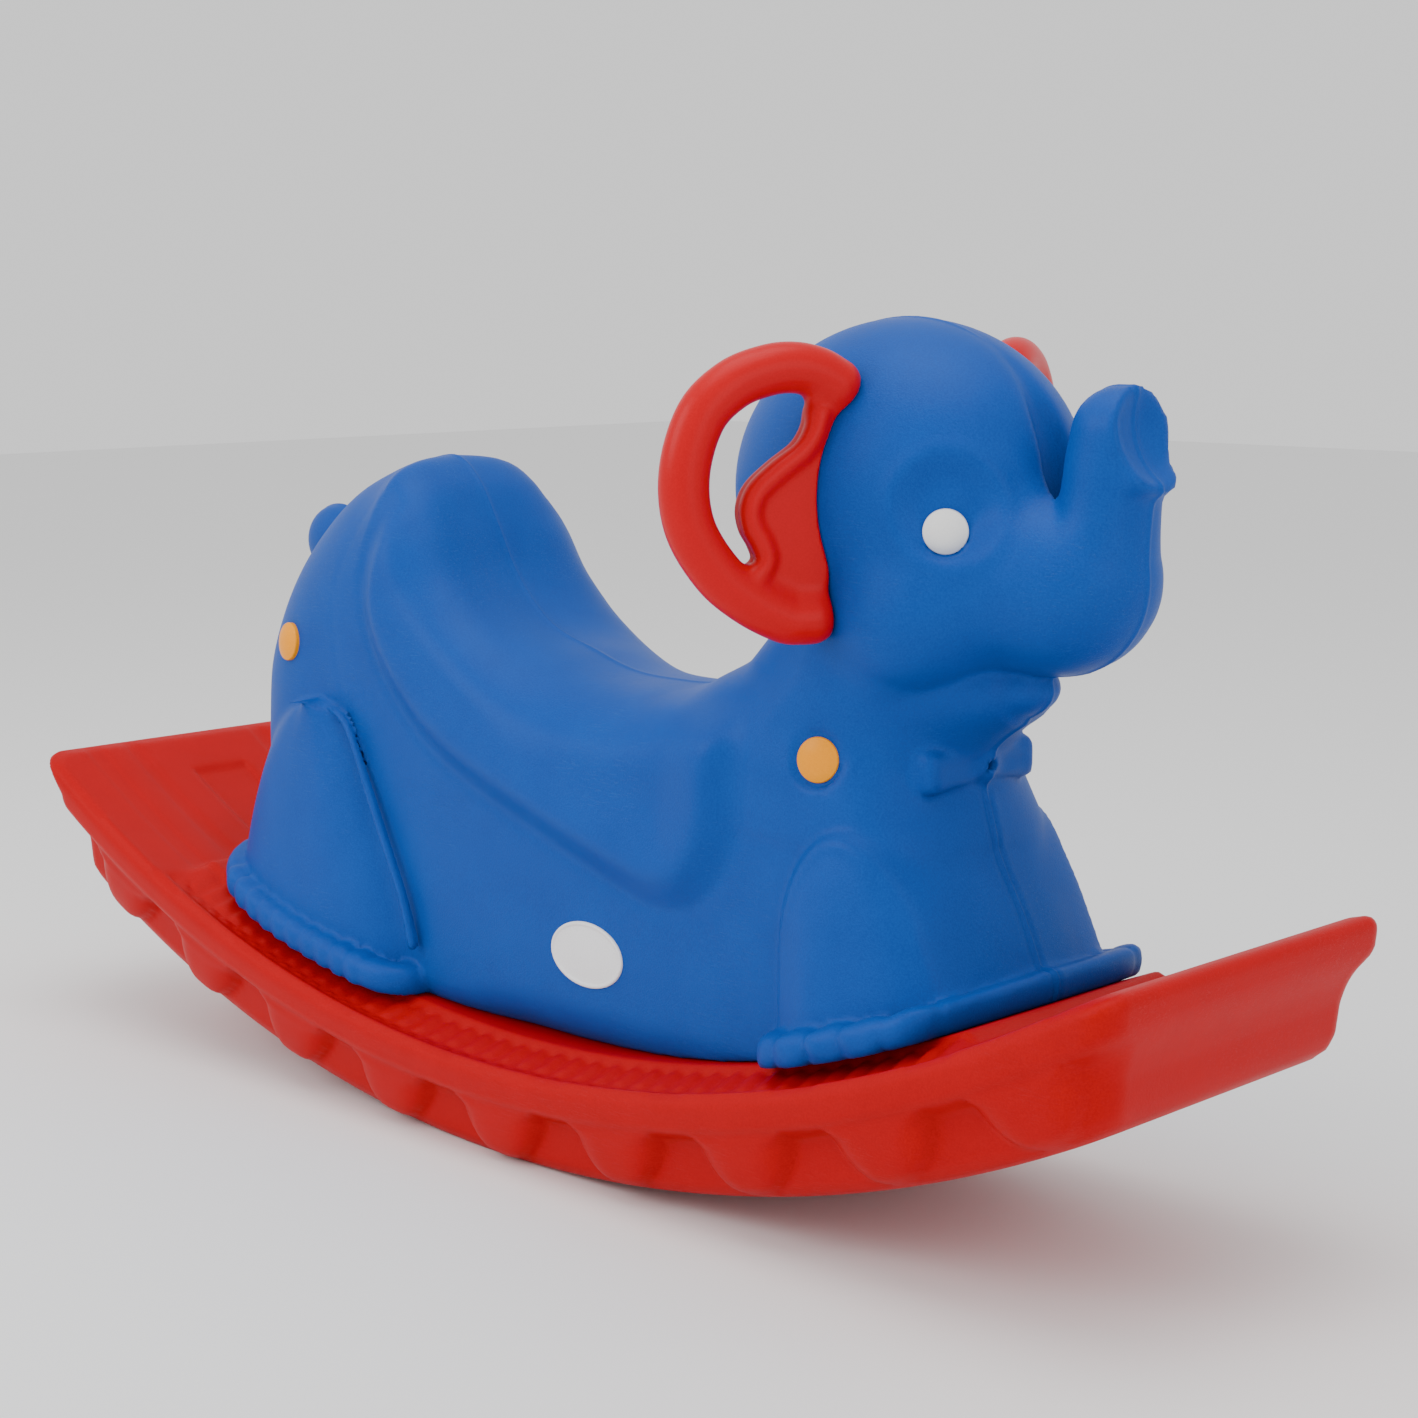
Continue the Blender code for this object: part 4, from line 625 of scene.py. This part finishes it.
# Body: the torso's field with every other form joined to it or cut from it, one after another.
def bodyField(grid):
    shape = bodyShape
    x, y, z = grid[0][:, None, None], grid[1][None, :, None], grid[2][None, None, :]
    field = torsoField(x, y, z)

    def add(low, high, form, fillet):
        blendIn(field, grid, low, high, form, fillet)

    def cut(low, high, form, fillet):
        blendIn(field, grid, low, high, form, fillet, True)

    # rear leg with its ridge, and front leg
    leg, heel = shape["rearLeg"]
    add((-340, 0, 60), (-80, 130, 290), lambda x, y, z: legField(x, y, z, *leg), 4)
    add((-345, 0, 60), (-110, 130, 290), lambda x, y, z: legField(x, y, z, *heel), 6)
    ridge = curveThrough(ridgeRows, 4)
    add((-230, 70, 95), (-85, 110, 285), lambda x, y, z: bar(x, y, z, ridge), 2.0)
    field -= archRelief(x, z)[:, None, :] * smoothStep(16, 36, y)

    # neck, chin, head and trunk; the crease of the mouth is a narrower fillet in front
    add((80, 0, 236), (350, 100, 392), neckField, 14)
    chin = shape["chin"]
    add((240, 0, 285), (400, 80, 370),
        lambda x, y, z: ellipsoid(x, y, z, chin["centre"], chin["radii"]), chin["fillet"])
    add((130, 0, 300), (470, 120, 560),
        lambda x, y, z: smoothMin(headField(x, y, z), trunkField(x, y, z), 13),
        lambda x, y, z: 3 + 11 * smoothStep(322, 285, x) + 0 * y * z)
    trunk = shape["trunk"]
    cut((355, 0, 405), (395, 40, 460),
        lambda x, y, z: ellipsoid(x, y, z, trunk["root"], trunk["rootRadii"]), 5)
    brow = curveThrough(browPath, 4)
    cut((270, 0, 410), (390, 40, 545), lambda x, y, z: bar(x, y, z, brow[:, :4], brow[:, 4]), 3)

    # dishes and seats for eyes and caps: a flat round floor square to the way the plug faces
    dishPlace, outward, eyePlace = eyeFrame()
    addEyeDish(field, grid, dishPlace, outward)
    seats = shape["seats"]
    rows = [(*spot, seats["cap"], seats["capRise"]) for spot in capPlaces.values()]
    for spot, out, hole, low in rows + [(eyePlace, outward, seats["eye"], seats["eyeRise"])]:
        def seat(x, y, z):
            along = (x - spot[0]) * out[0] + (y - spot[1]) * out[1] + (z - spot[2]) * out[2]
            away = (x - spot[0])**2 + (y - spot[1])**2 + (z - spot[2])**2 - along**2
            return np.maximum(np.sqrt(np.maximum(away, 0)) - hole, low - along)
        cut([c - 26 for c in spot], [c + 26 for c in spot], seat, seats["fillet"])

    # tail knob and bow
    cut((290, 0, 270), (350, 12, 290), bowHole, 0.6)
    tail = shape["tail"]
    add((-345, 0, 335), (-250, 40, 410),
        lambda x, y, z: ellipsoid(x, y, z, tail["centre"], tail["radii"]), tail["fillet"])
    add((285, 0, 255), (350, 56, 305), wingField, 2.5)
    bow = shape["bow"]
    add((290, 0, 255), (350, 30, 305),
        lambda x, y, z: ellipsoid(x, y, z, bow["knot"], bow["knotRadii"]), 2)
    cut((308, 0, 270), (350, 12, 290), bowHole, 0.6)

    # rims of the feet with their toes
    rim = shape["rim"]
    add((215, 0, 60), (390, 130, 220),
        lambda x, y, z: rimField(x, y, z, frontRim, *rim["frontToes"]), 2)
    add((-350, 0, 60), (-80, 130, 220),
        lambda x, y, z: rimField(x, y, z, rearRim, *rim["rearToes"]), 2)
    for nx, ny in nailRows:
        height = float(layerHeight(nx, rocker["deck"])) + 12
        add((nx - 20, ny - 24, height - 20), (nx + 20, ny + 20, height + 20),
            lambda x, y, z: ellipsoid(x, y, z, (nx, ny - 0.5, height), shape["nail"]), 1.5)

    # parting line of the mould: a fine ridge over seat and rump, a groove and a fold down the chest
    seam = shape["seam"]
    chest = smoothStep(268, 256, z) * smoothStep(296, 312, x)
    top = 1 - smoothStep(290, 320, x) * smoothStep(320, 420, z) * smoothStep(395, 380, x)
    field = field - seam["ridge"] * np.exp(-(y / 1.5)**2) * (1 - chest) * top
    fold = seam["chestFold"] * np.exp(-((y - 2.4) / 1.2)**2)
    field = field + chest * (fold - seam["chestGroove"] * np.exp(-y / 6))

    # sole that follows the deck
    return np.maximum(field, layerHeight(x, rocker["deck"]) + 0.3 - z)


def makeBody():
    cell = bodyShape["cell"]
    middle = np.array(bodyShape["middleLines"])
    ys = np.concatenate([middle, np.arange(middle[-1] + 3, 125, cell)])
    grid = (np.arange(-350, 452, cell), ys, np.arange(62, 548, cell))
    half = bodyField(grid)
    whole = np.concatenate([half[:, :0:-1], half], axis=1)
    wholeY = np.concatenate([-ys[:0:-1], ys])
    verts, quads, normals = levelSkin(whole, (grid[0], wholeY, grid[2]))
    body = meshObject("bodySkin", verts * mm, quads, finishes["blue"], normals)
    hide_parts("body_shell")
    print("body skin:", len(quads) * 2, "triangles")
    return body


makeBody()


# Base: insets are how far wall and ends lie inside the rim at each height over the underside.
baseShape = {
    "levels": (-5, 0, 2.5, 9, 24, 31, 35, 38.5, 41, 43, 46, 54, 58, 62, 64.5, 66),
    "sideInset": (34, 27, 21, 17, 16.5, 16, 15, 11.5, 5.5, 2, 0.6, 0, 0, 1.2, 3.4, 6.5),
    "endInset": (28, 21, 17, 14.5, 12.5, 9.5, 7, 4.5, 3, 2, 1, 0.2, 1.2, 4.2, 8.5, 14),
    "rearLean": 18.0, "corner": 18.0,
    "lobes": 9, "lobePitch": 106.0, "lobeShift": 24.0, "lobeWidth": 74.0, "lobeDrop": 40.0,
    "lobeTop": 43.0, "lobeSpread": 12.5,
    "plinthHalf": 88.0, "deckRear": -345.0, "deckFront": 386.0, "deckRise": 6.0, "deckWidth": 34.0,
    "treadDip": 2.4, "curb": 3.0, "lip": 0.8, "lipPlace": 126.5,
    "ribPitch": 17.7, "ribEnd": 120.0, "channelFrom": 110.0, "channelTo": 116.5, "grooveWidth": 8.5,
    "grooveDepth": 2.0,
    "panelRear": -455.0, "panelLength": 88.0, "panelHalf": 24.0, "panelDepth": 2.0,
    "bands": ((52, 64), (84, 98)), "bandHeight": 0.7,
    "halfSpan": 545.0, "cellAlong": 3.4, "cellUp": 2.1, "edgeCell": 1.75,
    "innerLines": (0, 7, 14, 19, 21, 22.5, 24, 25.5, 27, 34, 42, 48, 50, 51.2, 52.4, 54, 60, 62, 63.2,
                   64.4, 66, 72, 79, 82, 83.5, 85, 86.5, 88),
}


# length along the rim at x
def rimLength(x):
    return rimRadius * math.asin(x / rimRadius)


# a level step up at low and down at high, each over twice the width
def bandStep(value, low, high, width):
    return smoothStep(low - width, low + width, value) * smoothStep(high + width, high - width, value)


# Lobes: bulge = spread * (1 - level^2.6)^0.5 * (1 - u^3.6)^0.6, with u the share of the lobe's half
# width, which itself is a superellipse of the level below the lobe's top.
def lobeBulge(s, h, inset):
    shape = baseShape
    first = shape["lobeShift"] - (shape["lobes"] - 1) / 2 * shape["lobePitch"]
    nearest = np.clip(np.round((s - first) / shape["lobePitch"]), 0, shape["lobes"] - 1)
    offset = s - first - nearest * shape["lobePitch"]
    level = np.clip((shape["lobeTop"] - h) / shape["lobeDrop"], 0, 0.9999)
    width = shape["lobeWidth"] / 2 * (1 - level**1.9)**(1 / 1.9)
    u = np.clip(np.abs(offset) / np.maximum(width, 1e-3), 0, 1)
    bulge = shape["lobeSpread"] * (1 - level**2.6)**0.5 * (1 - u**3.6)**0.6
    return np.maximum(smoothMin(bulge, np.maximum(inset - 3.2, 0), 2), 0)


# Height of the base's top over its underside: the rim, then the deck with plinth, treads, curb and
# lip, less the ribs' grooves, the panel and the shallow bands behind the body.
def topHeight(s, y):
    shape = baseShape
    start, end = rimLength(shape["deckRear"]), rimLength(shape["deckFront"])
    plinth = shape["plinthHalf"]
    onDeck = bandStep(s, start, end, 5)
    slope = shape["deckRise"] * np.clip(1 - (y - plinth) / shape["deckWidth"], 0, 1)
    slope = slope - shape["treadDip"] * (smoothStep(94, 112, y) - smoothStep(121, 124, y))
    curb = shape["curb"] * smoothStep(4.5, 0, y - plinth)
    rise = np.where(y < plinth, rocker["deck"] - rocker["rim"], slope + curb)
    share = s / shape["ribPitch"]
    phase = np.abs(share - np.round(share - 0.5) - 0.5) * shape["ribPitch"]
    ribbed = bandStep(s, start + 14, end - 14, 2)
    # a shallow channel runs along the outer ends of the ribs
    trough = smoothStep(shape["channelFrom"], shape["channelFrom"] + 1.5, y)
    trough = trough * smoothStep(shape["channelTo"], shape["channelTo"] - 1.5, y)
    across = smoothStep(plinth + 4, plinth + 5.5, y)
    across = across * smoothStep(shape["ribEnd"], shape["ribEnd"] - 1.5, y)
    halfGroove = shape["grooveWidth"] / 2
    groove = across * (1 - trough) * ribbed * smoothStep(halfGroove + 1.2, halfGroove - 1.2, phase)
    lip = shape["lip"] * np.exp(-((y - shape["lipPlace"]) / 2.6)**2)
    panelRear = rimLength(shape["panelRear"])
    panel = bandStep(s, panelRear, panelRear + shape["panelLength"], 1.5)
    panel = panel * smoothStep(shape["panelHalf"] + 1.5, shape["panelHalf"] - 1.5, y)
    bands = sum(smoothStep(-2, 2, y - a) - smoothStep(-2, 2, y - b) for a, b in shape["bands"])
    bands = shape["bandHeight"] * smoothStep(start + 4, start - 4, s) * bands
    carved = shape["grooveDepth"] * (groove + trough * ribbed) + shape["panelDepth"] * panel
    return rocker["rim"] + rise * onDeck - carved - bands + lip


# Base, worked out flat (length along the rim, across, height over the underside): a rounded plan
# whose walls lie at an inset for each height, with lobes on them, under the top's height.
def baseField(s, y, h):
    shape = baseShape
    x = (rocker["radius"] - h) * np.sin(s / rimRadius)
    inset = np.interp(h, shape["levels"], shape["sideInset"])
    endInset = np.interp(h, shape["levels"], shape["endInset"])
    lean = np.where(h < 50, 1.0, np.clip((59 - h) / 9, 0, 1))
    corner = shape["corner"]
    front = np.where(x > 0, x - rocker["halfLength"] + endInset,
                     -x - rocker["halfLength"] + endInset + lean * shape["rearLean"])
    side = y - rocker["halfWidth"] + inset - lobeBulge(s, h, inset)
    fa, fb = front + corner, side + corner
    wall = np.hypot(np.maximum(fa, 0), np.maximum(fb, 0)) + np.minimum(np.maximum(fa, fb), 0) - corner
    return smoothMax(smoothMax(wall, h - topHeight(s, y), 4), -h, 3)


def makeBase():
    shape = baseShape
    inner = shape["innerLines"]
    ys = np.concatenate([inner, np.arange(inner[-1] + 1.6, 142, shape["edgeCell"])])
    grid = (np.arange(-shape["halfSpan"], shape["halfSpan"], shape["cellAlong"]), ys,
            np.arange(-4, 82, shape["cellUp"]))
    half = baseField(grid[0][:, None, None], ys[None, :, None], grid[2][None, None, :])
    whole = np.concatenate([half[:, :0:-1], half], axis=1)
    wholeY = np.concatenate([-ys[:0:-1], ys])
    verts, quads, normals = levelSkin(whole, (grid[0], wholeY, grid[2]))
    # bend round the rocking centre, level on the land underneath
    angle = verts[:, 0] / rimRadius
    radius = rocker["radius"] - verts[:, 2]
    bent = np.column_stack([radius * np.sin(angle), verts[:, 1],
                            np.maximum(rocker["centre"] - radius * np.cos(angle), 0)])
    along = normals[:, 0] * rimRadius / radius
    turned = np.column_stack([along * np.cos(angle) - normals[:, 2] * np.sin(angle), normals[:, 1],
                              along * np.sin(angle) + normals[:, 2] * np.cos(angle)])
    base = meshObject("baseSkin", bent * mm, quads, finishes["red"], turned)
    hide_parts("rocker_base")
    print("base skin:", len(quads) * 2, "triangles")
    return base


makeBase()


# Ears: loop is the handle's middle line, lobes the plate's outline, roll the line near its edge.
earShape = {
    "root": (265.0, 81.0, 435.0), "sweep": 26.0, "tube": 14.2, "web": 15.0, "bead": 6.0, "cell": 1.5,
    "loop": [(-7, 63), (4, 69), (18, 72), (34, 70.5), (54, 63), (72, 46), (81.6, 16), (78.8, -14),
             (63, -40), (44, -56), (24, -66.5), (14, -68), (7, -68)],
    "lobes": [(-12, 60), (0, 64), (11, 50), (11.5, 40), (17, 29), (31, 20), (44.5, 8), (49.5, -4),
              (48, -17), (43, -26), (40, -35), (50, -46), (38, -62), (12, -72), (2, -66), (-14, 0)],
    "roll": [(4, 46), (7, 36), (14, 26), (28, 15.5), (40, 5), (44.5, -5), (43, -15), (38, -24),
             (35.5, -34), (42, -44)],
    "reach": ((-24, 102), (-90, 94), (-18, 18.1)),
}


# Ear in its own plane (outward, up, through): a round bar along the loop joined to a lobed plate
# with a raised roll near its edge, hollowed where the head stands.
def earField(a, t, w):
    ear = earShape
    x2, y2 = np.broadcast_arrays(a[:, :, 0], t[:, :, 0])
    loop, _ = lineDistance(x2, y2, curveThrough(ear["loop"], 6))
    tube = np.hypot(loop[:, :, None], w * 1.0) - ear["tube"]
    plate = -outlineDepth(x2, y2, curveThrough(ear["lobes"], 6, True))[:, :, None]
    sheet = smoothMax(plate, np.abs(w) - ear["web"] / 2 + 1.5, 6)
    roll, _ = lineDistance(x2, y2, curveThrough(ear["roll"], 6))
    ridge = np.hypot(roll[:, :, None], np.abs(w) - ear["web"] / 2 + 3.2) - ear["bead"]
    field = smoothMin(smoothMin(tube, sheet, 8), ridge, 3.5)
    rx, ry, rz = ear["root"]
    turn = math.radians(ear["sweep"])
    x = rx - a * math.sin(turn) + w * math.cos(turn)
    y = ry + a * math.cos(turn) + w * math.sin(turn)
    z = rz + t
    head = smoothMin(headField(x, y, z), neckField(x, y, z), 6)
    return smoothMax(field, 0.5 - head, 1.5)


# one ear, turned back by its sweep; side is -1 on the elephant's right
def makeEar(name, node, side):
    ear = earShape
    grid = tuple(np.arange(low, high, ear["cell"]) for low, high in ear["reach"])
    field = earField(grid[0][:, None, None], grid[1][None, :, None], grid[2][None, None, :])
    verts, quads, normals = levelSkin(field, grid)
    turn = math.radians(ear["sweep"])
    rx, ry, rz = ear["root"]

    def placed(rows, origin):
        a, t, w = rows.T
        across = origin[1] + a * math.cos(turn) + w * math.sin(turn)
        return np.column_stack([origin[0] - a * math.sin(turn) + w * math.cos(turn), side * across,
                                origin[2] + t])

    if side < 0:
        quads = quads[:, ::-1]
    obj = meshObject(name, placed(verts, (rx, ry, rz)) * mm, quads, finishes["earRed"],
                     placed(normals, (0, 0, 0)))
    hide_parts(node)
    print(name, len(quads) * 2, "triangles")
    return obj


makeEar("earLeftSkin", "ear_left", 1)
makeEar("earRightSkin", "ear_right", -1)
print("ears made")


# press-in plugs and the side plate
plugShape = {"eyeRadius": 12.7, "capRadius": 13.4, "seat": -2.2, "rim": 0.5, "edge": 1.2, "dome": 3.4}
plateShape = {"place": (67.0, 83.26, 137.0), "halfLength": 33.0, "halfHeight": 21.0, "thick": 2.4,
              "seat": -0.9}


# Surface between rings, each (edge inset, shrink, height) of the same oval; strips close both ends.
def ovalPiece(name, place, outward, along, halves, rings, material, node):
    outward = np.array(outward, float) / np.linalg.norm(outward)
    along = np.array(along, float) - outward * (np.array(along) @ outward)
    along /= np.linalg.norm(along)
    across = np.cross(outward, along)
    count = 64
    turn = np.linspace(0, 2 * math.pi, count, endpoint=False)
    inset, shrink, height = np.array(rings, float).T[:, :, None]
    u = (halves[0] - inset) * shrink * np.cos(turn)
    v = (halves[1] - inset) * shrink * np.sin(turn)
    rise = height + 0 * u
    rows = np.array(place) + u[..., None] * along + v[..., None] * across + rise[..., None] * outward
    ring = np.arange(len(rings) - 1)[:, None] * count
    here, ahead = ring + np.arange(count), ring + (np.arange(count) + 1) % count
    sides = np.stack([here, ahead, ahead + count, here + count], -1).reshape(-1, 4)
    strip = np.arange(count // 2 - 1)
    cap = np.stack([strip, strip + 1, count - 2 - strip, count - 1 - strip], -1)
    faces = np.vstack([sides, cap + (len(rings) - 1) * count, cap[:, ::-1]])
    obj = meshObject(name, rows.reshape(-1, 3) * mm, faces, material, sharpAngle=50)
    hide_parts(node)
    return obj


# Plug: a disc with a quarter-round rim and a low dome that rises over the rim's top by
# (dome - edge) * (1 - share^2.4), with share the distance from the middle over the dome's radius.
def makePlug(name, node, place, outward, side, radius, material):
    shape = plugShape
    place = (place[0], side * place[1], place[2])
    outward = (outward[0], side * outward[1], outward[2])
    edge, low = shape["edge"], shape["rim"]
    turn = np.linspace(0, math.pi / 2, 8)
    share = np.linspace(0, 0.97, 14)[1:]
    rings = [(0, 0.1, shape["seat"]), (0, 1, shape["seat"]), (0, 1, low - 0.6)]
    rings += [(edge * (1 - math.cos(t)), 1, low + edge * math.sin(t)) for t in turn]
    rings += [(edge, 1 - t, low + edge + (shape["dome"] - edge) * (1 - (1 - t)**2.4)) for t in share]
    return ovalPiece(name, place, outward, (1, 0, 0), (radius, radius), rings, material, node)


def makePlugs():
    _, eyeOut, eyeSpot = eyeFrame()
    for word, side in (("Left", 1), ("Right", -1)):
        low = word.lower()
        makePlug("eye" + word, "eye_" + low, eyeSpot, eyeOut, side, plugShape["eyeRadius"],
                 finishes["white"])
        for end, (spot, out) in capPlaces.items():
            makePlug("cap" + end.capitalize() + word, f"cap_{end}_{low}", spot, out, side,
                     plugShape["capRadius"], finishes["orange"])


# Bare oval plate: a raised rim ring round a slightly domed face.
def makePlate():
    shape = plateShape
    high = shape["seat"] + shape["thick"]
    rings = [(0, 0.05, shape["seat"]), (0, 1, shape["seat"])]
    rings += [(inset, shrink, high + rise) for inset, shrink, rise in
              ((0, 1, -0.9), (0.25, 1, -0.35), (0.9, 1, 0), (1.8, 1, 0), (2.4, 1, -0.25),
               (2.8, 1, -0.55), (3.4, 1, -0.6), (3.4, 0.8, -0.4), (3.4, 0.55, -0.15),
               (3.4, 0.3, 0), (3.4, 0.05, 0.05))]
    x, y, z = shape["place"]
    halves = (shape["halfLength"], shape["halfHeight"])
    ovalPiece("sidePlate", (x, -y, z), (0, -1, 0.02), (1, 0, 0), halves, rings, finishes["label"],
              "side_badge")


makePlugs()
makePlate()
print("plugs and plate made")


# brushed or turned metal for the fasteners that stay as they are
def metal(name, colour, shade, roughness):
    bright = tuple(min(1, c * 1.25) for c in colour)
    material = plastic(name, colour, shade, bright, roughness, 0.1, pebble=1500.0, rubAmount=0.4,
                       sheen=0.5)
    material.node_tree.nodes["Principled BSDF"].inputs["Metallic"].default_value = 1
    return material


fastenerLooks = {"zinc_steel": metal("zincPlate", (0.62, 0.62, 0.6), (0.52, 0.53, 0.53), 0.34),
                 "brass": metal("turnedBrass", (0.72, 0.52, 0.22), (0.62, 0.43, 0.17), 0.3)}
for node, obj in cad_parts.items():
    if node.startswith(("base_bolt", "bolt_washer", "foot_insert")):
        look = fastenerLooks["brass" if node.startswith("foot_insert") else "zinc_steel"]
        for i in range(len(obj.data.materials)):
            obj.data.materials[i] = look
print("fasteners finished")


studio = {
    "floorSize": 14.0, "floorColour": (0.86, 0.86, 0.86), "world": 1.0, "aim": (0, 0, 0.25),
    # name, power, size and place of each soft light
    "lights": (("overhead", 26, 1.6, (0.2, -0.3, 2.4)), ("keySide", 22, 1.3, (-0.9, -2.0, 1.5)),
               ("frontFill", 10, 1.4, (2.4, -0.6, 1.0))),
    "camera": {"yaw": 45.143, "pitch": 9.118, "roll": -0.152, "place": (1.2368, -1.1384, 0.5459),
               "sensor": 36, "focalPixels": 2572.6, "framePixels": 1418},
}


def makeStage():
    half = studio["floorSize"] / 2
    mesh = bpy.data.meshes.new("floor")
    corners = [(-half, -half, 0), (half, -half, 0), (half, half, 0), (-half, half, 0)]
    mesh.from_pydata(corners, [], [(0, 1, 2, 3)])
    floor = bpy.data.objects.new("floor", mesh)
    bpy.context.scene.collection.objects.link(floor)
    material = bpy.data.materials.new("paleFloor")
    material.use_nodes = True
    shader = material.node_tree.nodes["Principled BSDF"]
    shader.inputs["Base Color"].default_value = (*studio["floorColour"], 1)
    shader.inputs["Roughness"].default_value = 0.9
    mesh.materials.append(material)
    world = bpy.data.worlds.new("studio")
    world.use_nodes = True
    back = world.node_tree.nodes["Background"]
    back.inputs[0].default_value = (1, 1, 1, 1)
    back.inputs[1].default_value = studio["world"]
    bpy.context.scene.world = world
    for name, power, size, spot in studio["lights"]:
        light = bpy.data.lights.new(name, "AREA")
        light.energy = power
        light.size = size
        lamp = bpy.data.objects.new(name, light)
        bpy.context.scene.collection.objects.link(lamp)
        lamp.location = spot
        lamp.rotation_euler = (Vector(spot) - Vector(studio["aim"])).to_track_quat("Z", "Y").to_euler()


# the photograph's camera, from its yaw, pitch and roll in degrees
def makeCamera():
    shape = studio["camera"]
    yaw, pitch, roll = (math.radians(shape[key]) for key in ("yaw", "pitch", "roll"))
    flat = math.cos(pitch)
    forward = Vector((-math.sin(yaw) * flat, math.cos(yaw) * flat, -math.sin(pitch)))
    right = forward.cross(Vector((0, 0, 1))).normalized()
    up = right.cross(forward)
    across = math.cos(roll) * right + math.sin(roll) * up
    upright = math.cos(roll) * up - math.sin(roll) * right
    data = bpy.data.cameras.new("camera")
    data.sensor_width = shape["sensor"]
    data.lens = shape["sensor"] * shape["focalPixels"] / shape["framePixels"]
    data.clip_start = 0.05
    camera = bpy.data.objects.new("camera", data)
    bpy.context.scene.collection.objects.link(camera)
    turn = Matrix((across, upright, -forward)).transposed().to_4x4()
    camera.matrix_world = Matrix.Translation(shape["place"]) @ turn
    bpy.context.scene.camera = camera


makeStage()
makeCamera()
print("stage and camera placed")
